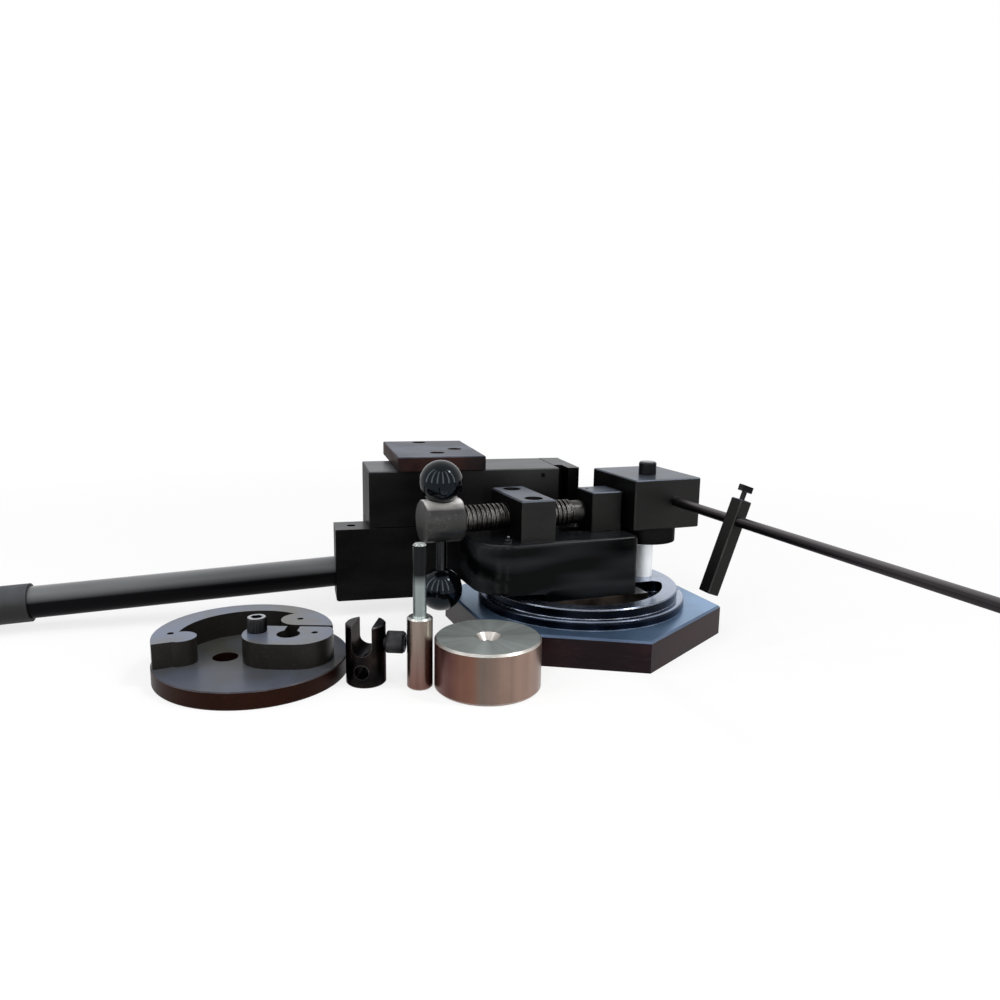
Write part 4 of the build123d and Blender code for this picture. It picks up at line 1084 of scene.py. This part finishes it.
@dataclass
class ClampDrive(SubAssembly):
    """The jaw, its clamp screw and the crank with its sliding bar and balls.

    Attributes:
        thread: The clamp screw's square-cut thread.
        thread_span: Where the thread begins and ends along X.
        land: Length of the full width that the thread begins at.
        shoulders: Distance from the thread's start to its core, and from its core to its end.
        tail_r: Radius of the screw inside the hub.
        nose_r: Radius of its plain nose.
        nose_round: Rounding of the nose.
        nose_steps: Number of steps in that rounding.
        nose_gap: Gap between the nose and the jaw.
        tip_r: Radius of the tip inside the jaw.
        groove_r: Radius of the groove that holds it there.
        groove: Where the groove begins and ends along X.
        count: Points round the screw.
    """

    thread: CutThread = CutThread(pitch=5 * MM, depth=2.6 * MM, crest=2.0 * MM, foot=3.2 * MM, steps=48)
    thread_span: tuple[float, float] = (-138 * MM, -16.3 * MM)
    land: float = 1.2 * MM
    shoulders: tuple[float, float] = (3.0 * MM, 1.0 * MM)
    tail_r: float = 9 * MM
    nose_r: float = 12.5 * MM
    nose_round: float = 7 * MM
    nose_steps: int = 6
    nose_gap: float = 0.3 * MM
    tip_r: float = 7 * MM
    groove_r: float = 5 * MM
    groove: tuple[float, float] = (5.7 * MM, 10.3 * MM)
    count: int = 64

    FINISHES = {
        FinishName.BLACK_BLOCK: ("jaw_block",),
        FinishName.BLACK_SCREW: ("jaw_pin",),
        FinishName.HUB_WEAR_AND_PAINTED_GLEAM: ("crank_hub",),
        FinishName.OILED_BAR: ("tommy_bar",),
        FinishName.BALL_GLOSS: ("tommy_ball_upper", "tommy_ball_lower"),
    }

    def build(self) -> None:
        """Build the clamp screw with its thread."""
        low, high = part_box("clamp_screw")
        radius = (high.z - low.z) / 2
        core = radius - self.thread.depth
        start, end = self.thread_span
        nose_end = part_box("jaw_block")[0].x - self.nose_gap
        profile = [
            (self.tail_r, low.x), (self.tail_r, start), (radius, start), (radius, start + self.land),
            (core, start + self.shoulders[0]), (core, end - self.shoulders[1]), (self.nose_r, end),
        ]
        for step in range(self.nose_steps + 1):
            turn = math.pi / 2 * step / self.nose_steps
            profile.append((
                self.nose_r - self.nose_round * (1 - math.cos(turn)),
                nose_end - self.nose_round * (1 - math.sin(turn)),
            ))
        profile += [
            (self.tip_r, nose_end), (self.tip_r, self.groove[0]), (self.groove_r, self.groove[0]),
            (self.groove_r, self.groove[1]), (self.tip_r, self.groove[1]), (self.tip_r, high.x),
        ]
        stack = MeshStack()
        stack.skin([circle(reach, place, self.count) for reach, place in profile])
        self.thread.cut(stack, radius, start + self.land, end)
        axis = middle_of("clamp_screw")
        axis.x = 0.0
        piece = stack.mesh_object("clamp_screw_threaded", standing(axis, Vector((1, 0, 0))))
        self.add(piece, FinishName.SCREW_THREAD, "crank", "bright_steel", "clamp_screw")


@dataclass
class BendingArm(SubAssembly):
    """The swinging arm with its wing, nose, drilled plate and pipe handle.

    Attributes:
        plate_screw: The screws that hold the drilled plate.
    """

    plate_screw: CapScrew = CapScrew(16 * MM, 10 * MM, 10 * MM, 25 * MM)

    FINISHES = {
        FinishName.ARM_STEEL: ("arm_beam", "nose_insert"),
        FinishName.WING_STEEL_PAINTED_LIGHT: ("wing_block",),
        FinishName.DRILLED_PLATE: ("top_plate",),
        FinishName.PIPE_PAINT: ("handle_tube",),
        FinishName.GRIP_RUBBER: ("grip_sleeve",),
        FinishName.BRONZE_BUSH: ("pivot_bush",),
        FinishName.BLACK_SCREW: ("wing_bolts", "nose_screws", "wing_set_screw", "handle_set_screw"),
    }

    def build(self) -> None:
        """Build the two screws of the drilled plate."""
        low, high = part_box("top_plate_screws")
        reach = self.plate_screw.head_d / 2
        seat = high.z - self.plate_screw.head_h
        corners = ((low.x + reach, low.y + reach), (high.x - reach, high.y - reach))
        places = [Vector((x, y, seat)) for x, y in corners]
        self.screws("top_plate_screws", self.plate_screw, places, UP, "arm")


@dataclass
class LengthGauge(SubAssembly):
    """The gauge rod with its sliding stop."""

    FINISHES = {
        FinishName.BLACK_BLOCK: ("stop_arm",),
        FinishName.GAUGE_BAR: ("gauge_rod",),
        FinishName.BLACK_SCREW: ("stop_screw",),
    }


@dataclass
class LooseTools(SubAssembly):
    """The scroll die, the bolt holder, the stepped pin and the roller.

    Attributes:
        scroll_screw: The screw beside the scroll's heart.
        holder_bolt: The bolt through the holder's side.
        bolt_turn: Its direction on plan, in degrees.
        bolt_standoff: Gap between the holder and its head.
    """

    scroll_screw: CapScrew = CapScrew(18 * MM, 14 * MM, 12 * MM, 13 * MM)
    holder_bolt: CapScrew = CapScrew(20 * MM, 16.5 * MM, 12 * MM, 10 * MM, knurls=72, edge=1.4 * MM)
    bolt_turn: float = -26.0
    bolt_standoff: float = 1.5 * MM

    FINISHES = {
        FinishName.SCROLL_STEEL: ("outer_scroll", "inner_scroll"),
        FinishName.SCROLL_DISC: ("scroll_plate",),
        FinishName.BLACK_SCREW: ("scroll_dowels",),
        FinishName.OILED_HOLDER: ("fork_holder",),
        FinishName.STEPPED_PIN: ("tool_pin",),
        FinishName.TURNED_BRIGHT: ("roller",),
    }

    def build(self) -> None:
        """Build the two knurled screws."""
        seat = middle_of("scroll_screw")
        seat.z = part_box("scroll_screw")[1].z - self.scroll_screw.head_h
        bright = FinishName.BRIGHT_HEAD
        self.screws("scroll_screw", self.scroll_screw, [seat], UP, "scroll_die", bright)
        low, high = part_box("fork_holder")
        turn = math.radians(self.bolt_turn)
        along = Vector((math.cos(turn), math.sin(turn), 0.0))
        seat = middle_of("fork_holder")
        seat.z = middle_of("fork_bolt").z
        seat += along * ((high.x - low.x) / 2 + self.bolt_standoff)
        self.screws("fork_bolt", self.holder_bolt, [seat], along, "holder_bolt")


@dataclass(frozen=True)
class Viewpoint:
    """Where the photograph was taken from.

    Attributes:
        place: The camera's place.
        yaw: Turn from looking along +Y, in degrees.
        pitch: Tilt downwards, in degrees.
        roll: Turn about the line of sight, in degrees.
        lens: Focal length, in millimetres.
        sensor: Breadth of the sensor, in millimetres.
    """

    place: Triple = (-0.4091, -0.7951, 0.3035)
    yaw: float = -21.524
    pitch: float = 10.551
    roll: float = 0.891
    lens: float = 30.4
    sensor: float = 36.0

    def matrix(self) -> Matrix:
        """Work out where the camera stands and points.

        Returns:
            The camera's matrix.
        """
        yaw, pitch, roll = (math.radians(angle) for angle in (self.yaw, self.pitch, self.roll))
        right = Vector((math.cos(yaw), math.sin(yaw), 0.0))
        ahead = Vector((-math.sin(yaw), math.cos(yaw), 0.0))
        sight = ahead * math.cos(pitch) - UP * math.sin(pitch)
        crown = UP * math.cos(pitch) + ahead * math.sin(pitch)
        across = right * math.cos(roll) + crown * math.sin(roll)
        upright = crown * math.cos(roll) - right * math.sin(roll)
        turn = Matrix((across, upright, -sight)).transposed()
        return Matrix.Translation(self.place) @ turn.to_4x4()


@dataclass
class Studio:
    """The floor, the white surround, the lamps and the camera.

    Attributes:
        view: Where the camera stands.
        floor_reach: Half of the floor's breadth.
        floor_colour: Its colour.
        floor_roughness: Its roughness.
        floor_middle: The point that it fades away from.
        floor_white: Share of plain white in the floor under the object, where it is seen.
        floor_fade: Distances where the floor begins to turn plain white and where it is.
        surround: Strength of the surround's light on the object.
        key: Strength of the main light.
        key_from: Where the main light comes from.
        key_spread: Angle that the main light fills, in degrees.
        strip_size: Breadth and length of a strip lamp.
        strip_power: Power of a strip, in watts.
        strip_foot: The floor point that the standing strips face.
        strip_out: Distance of the standing strips from that point.
        strip_rise: Height of their middles.
        bearings: Directions of the standing strips from there, off the camera's, in degrees.
    """

    view: Viewpoint = Viewpoint()
    floor_reach: float = 30.0
    floor_colour: Colour = (0.97, 0.97, 0.97)
    floor_roughness: float = 0.9
    floor_middle: Triple = (-0.2, 0.0, 0.0)
    floor_white: float = 0.75
    floor_fade: tuple[float, float] = (0.35, 1.3)
    surround: float = 0.3
    key: float = 0.6
    key_from: Triple = (0.8, -0.5, 1.2)
    key_spread: float = 9.0
    strip_size: tuple[float, float] = (0.20, 3.4)
    strip_power: float = 14.0
    strip_foot: Triple = (-0.15, 0.0, 0.0)
    strip_out: float = 1.7
    strip_rise: float = 1.9
    bearings: tuple[float, ...] = (-78.0, -46.0, -15.0, 15.0, 46.0, 78.0)

    def build(self) -> None:
        """Set up everything that isn't the object."""
        self._floor()
        self._surround()
        self._lamps()
        self._camera()
        bpy.context.scene.view_settings.view_transform = "Standard"

    def _floor(self) -> None:
        """Lay a plain pale floor that fades to white away from the object."""
        reach = self.floor_reach
        mesh = bpy.data.meshes.new("floor")
        corners = [(-reach, -reach, 0), (reach, -reach, 0), (reach, reach, 0), (-reach, reach, 0)]
        mesh.from_pydata(corners, [], [(0, 1, 2, 3)])
        floor = bpy.data.objects.new("floor", mesh)
        bpy.context.scene.collection.objects.link(floor)
        material = bpy.data.materials.new("floor_white")
        material.use_nodes = True
        shader = material.node_tree.nodes["Principled BSDF"]
        shader.inputs["Base Color"].default_value = (*self.floor_colour, 1.0)
        shader.inputs["Roughness"].default_value = self.floor_roughness
        shader.inputs["Specular IOR Level"].default_value = 0.0
        bench = NodeBench(material.node_tree)
        place = bench.add("ShaderNodeTexCoord").outputs["Object"]
        away = bench.measure("DISTANCE", place, self.floor_middle)
        share = bench.remap(away, *self.floor_fade, self.floor_white, 1.0)
        blend = bench.add("ShaderNodeMixShader")
        bench.feed(blend.inputs[0], bench.math("MULTIPLY", self._shown(bench), share))
        bench.feed(blend.inputs[1], shader.outputs[0])
        bench.feed(blend.inputs[2], bench.add("ShaderNodeEmission").outputs[0])
        bench.feed(material.node_tree.nodes["Material Output"].inputs["Surface"], blend.outputs[0])
        mesh.materials.append(material)

    @staticmethod
    def _shown(bench: NodeBench) -> bpy.types.NodeSocket:
        """Tell the rays that see a surface from those that it only lights.

        Args:
            bench: The material's nodes.

        Returns:
            1 where the surface is seen, mirrored or seen through, and 0 elsewhere.
        """
        path = bench.add("ShaderNodeLightPath")
        seen = bench.math("MAXIMUM", path.outputs["Is Camera Ray"], path.outputs["Is Glossy Ray"])
        return bench.math("MAXIMUM", seen, path.outputs["Is Transmission Ray"])

    def _surround(self) -> None:
        """Make the white surround, full white where it is seen or mirrored."""
        world = bpy.data.worlds.new("surround")
        world.use_nodes = True
        bpy.context.scene.world = world
        bench = NodeBench(world.node_tree)
        background = world.node_tree.nodes["Background"]
        background.inputs["Color"].default_value = (1.0, 1.0, 1.0, 1.0)
        strength = bench.remap(self._shown(bench), 0.0, 1.0, self.surround, 1.0)
        bench.feed(background.inputs["Strength"], strength)

    def _lamps(self) -> None:
        """Hang the main light and the strip lamps."""
        light = bpy.data.lights.new("main_light", "SUN")
        light.energy = self.key
        light.angle = math.radians(self.key_spread)
        self._hang("main_light", light, standing(Vector(self.key_from), Vector(self.key_from)))
        turn = math.radians(self.view.yaw)
        ahead = Vector((-math.sin(turn), math.cos(turn), 0.0))
        side = Vector((ahead.y, -ahead.x, 0.0))
        middle = Vector(self.strip_foot) + UP * self.strip_rise
        for count, bearing in enumerate(self.bearings):
            swing = math.radians(bearing)
            out = side * math.sin(swing) - ahead * math.cos(swing)
            self._strip(f"standing_strip_{count}", middle + out * self.strip_out, out)

    def _strip(self, name: str, place: Vector, back: Vector) -> None:
        """Place one upright strip lamp.

        Args:
            name: Name of the lamp.
            place: Its middle.
            back: The direction opposite to its light.
        """
        light = bpy.data.lights.new(name, "AREA")
        light.shape = "RECTANGLE"
        light.size, light.size_y = self.strip_size
        light.energy = self.strip_power
        turn = Matrix((UP.cross(back), UP, back)).transposed()
        self._hang(name, light, Matrix.Translation(place) @ turn.to_4x4())

    @staticmethod
    def _hang(name: str, light: bpy.types.Light, place: Matrix) -> None:
        """Put a lamp in the scene.

        Args:
            name: Name of the lamp.
            light: Its light.
            place: Where it stands and points.
        """
        lamp = bpy.data.objects.new(name, light)
        lamp.matrix_world = place
        bpy.context.scene.collection.objects.link(lamp)

    def _camera(self) -> None:
        """Set the camera where the photograph was taken."""
        camera = bpy.data.cameras.new("photo_camera")
        camera.sensor_width = self.view.sensor
        camera.lens = self.view.lens
        stand = bpy.data.objects.new("photo_camera", camera)
        stand.matrix_world = self.view.matrix()
        bpy.context.scene.collection.objects.link(stand)
        bpy.context.scene.camera = stand


def main() -> None:
    """Load the frame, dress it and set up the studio."""
    logging.basicConfig(level=logging.INFO, format="%(name)s %(message)s")
    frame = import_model()
    paints = Paintbox()
    for kind in (BaseAndVice, ClampDrive, BendingArm, LengthGauge, LooseTools):
        group = kind(paints, frame["nodes"])
        group.dress()
        group.build()
    Studio().build()


if __name__ == "__main__":
    main()
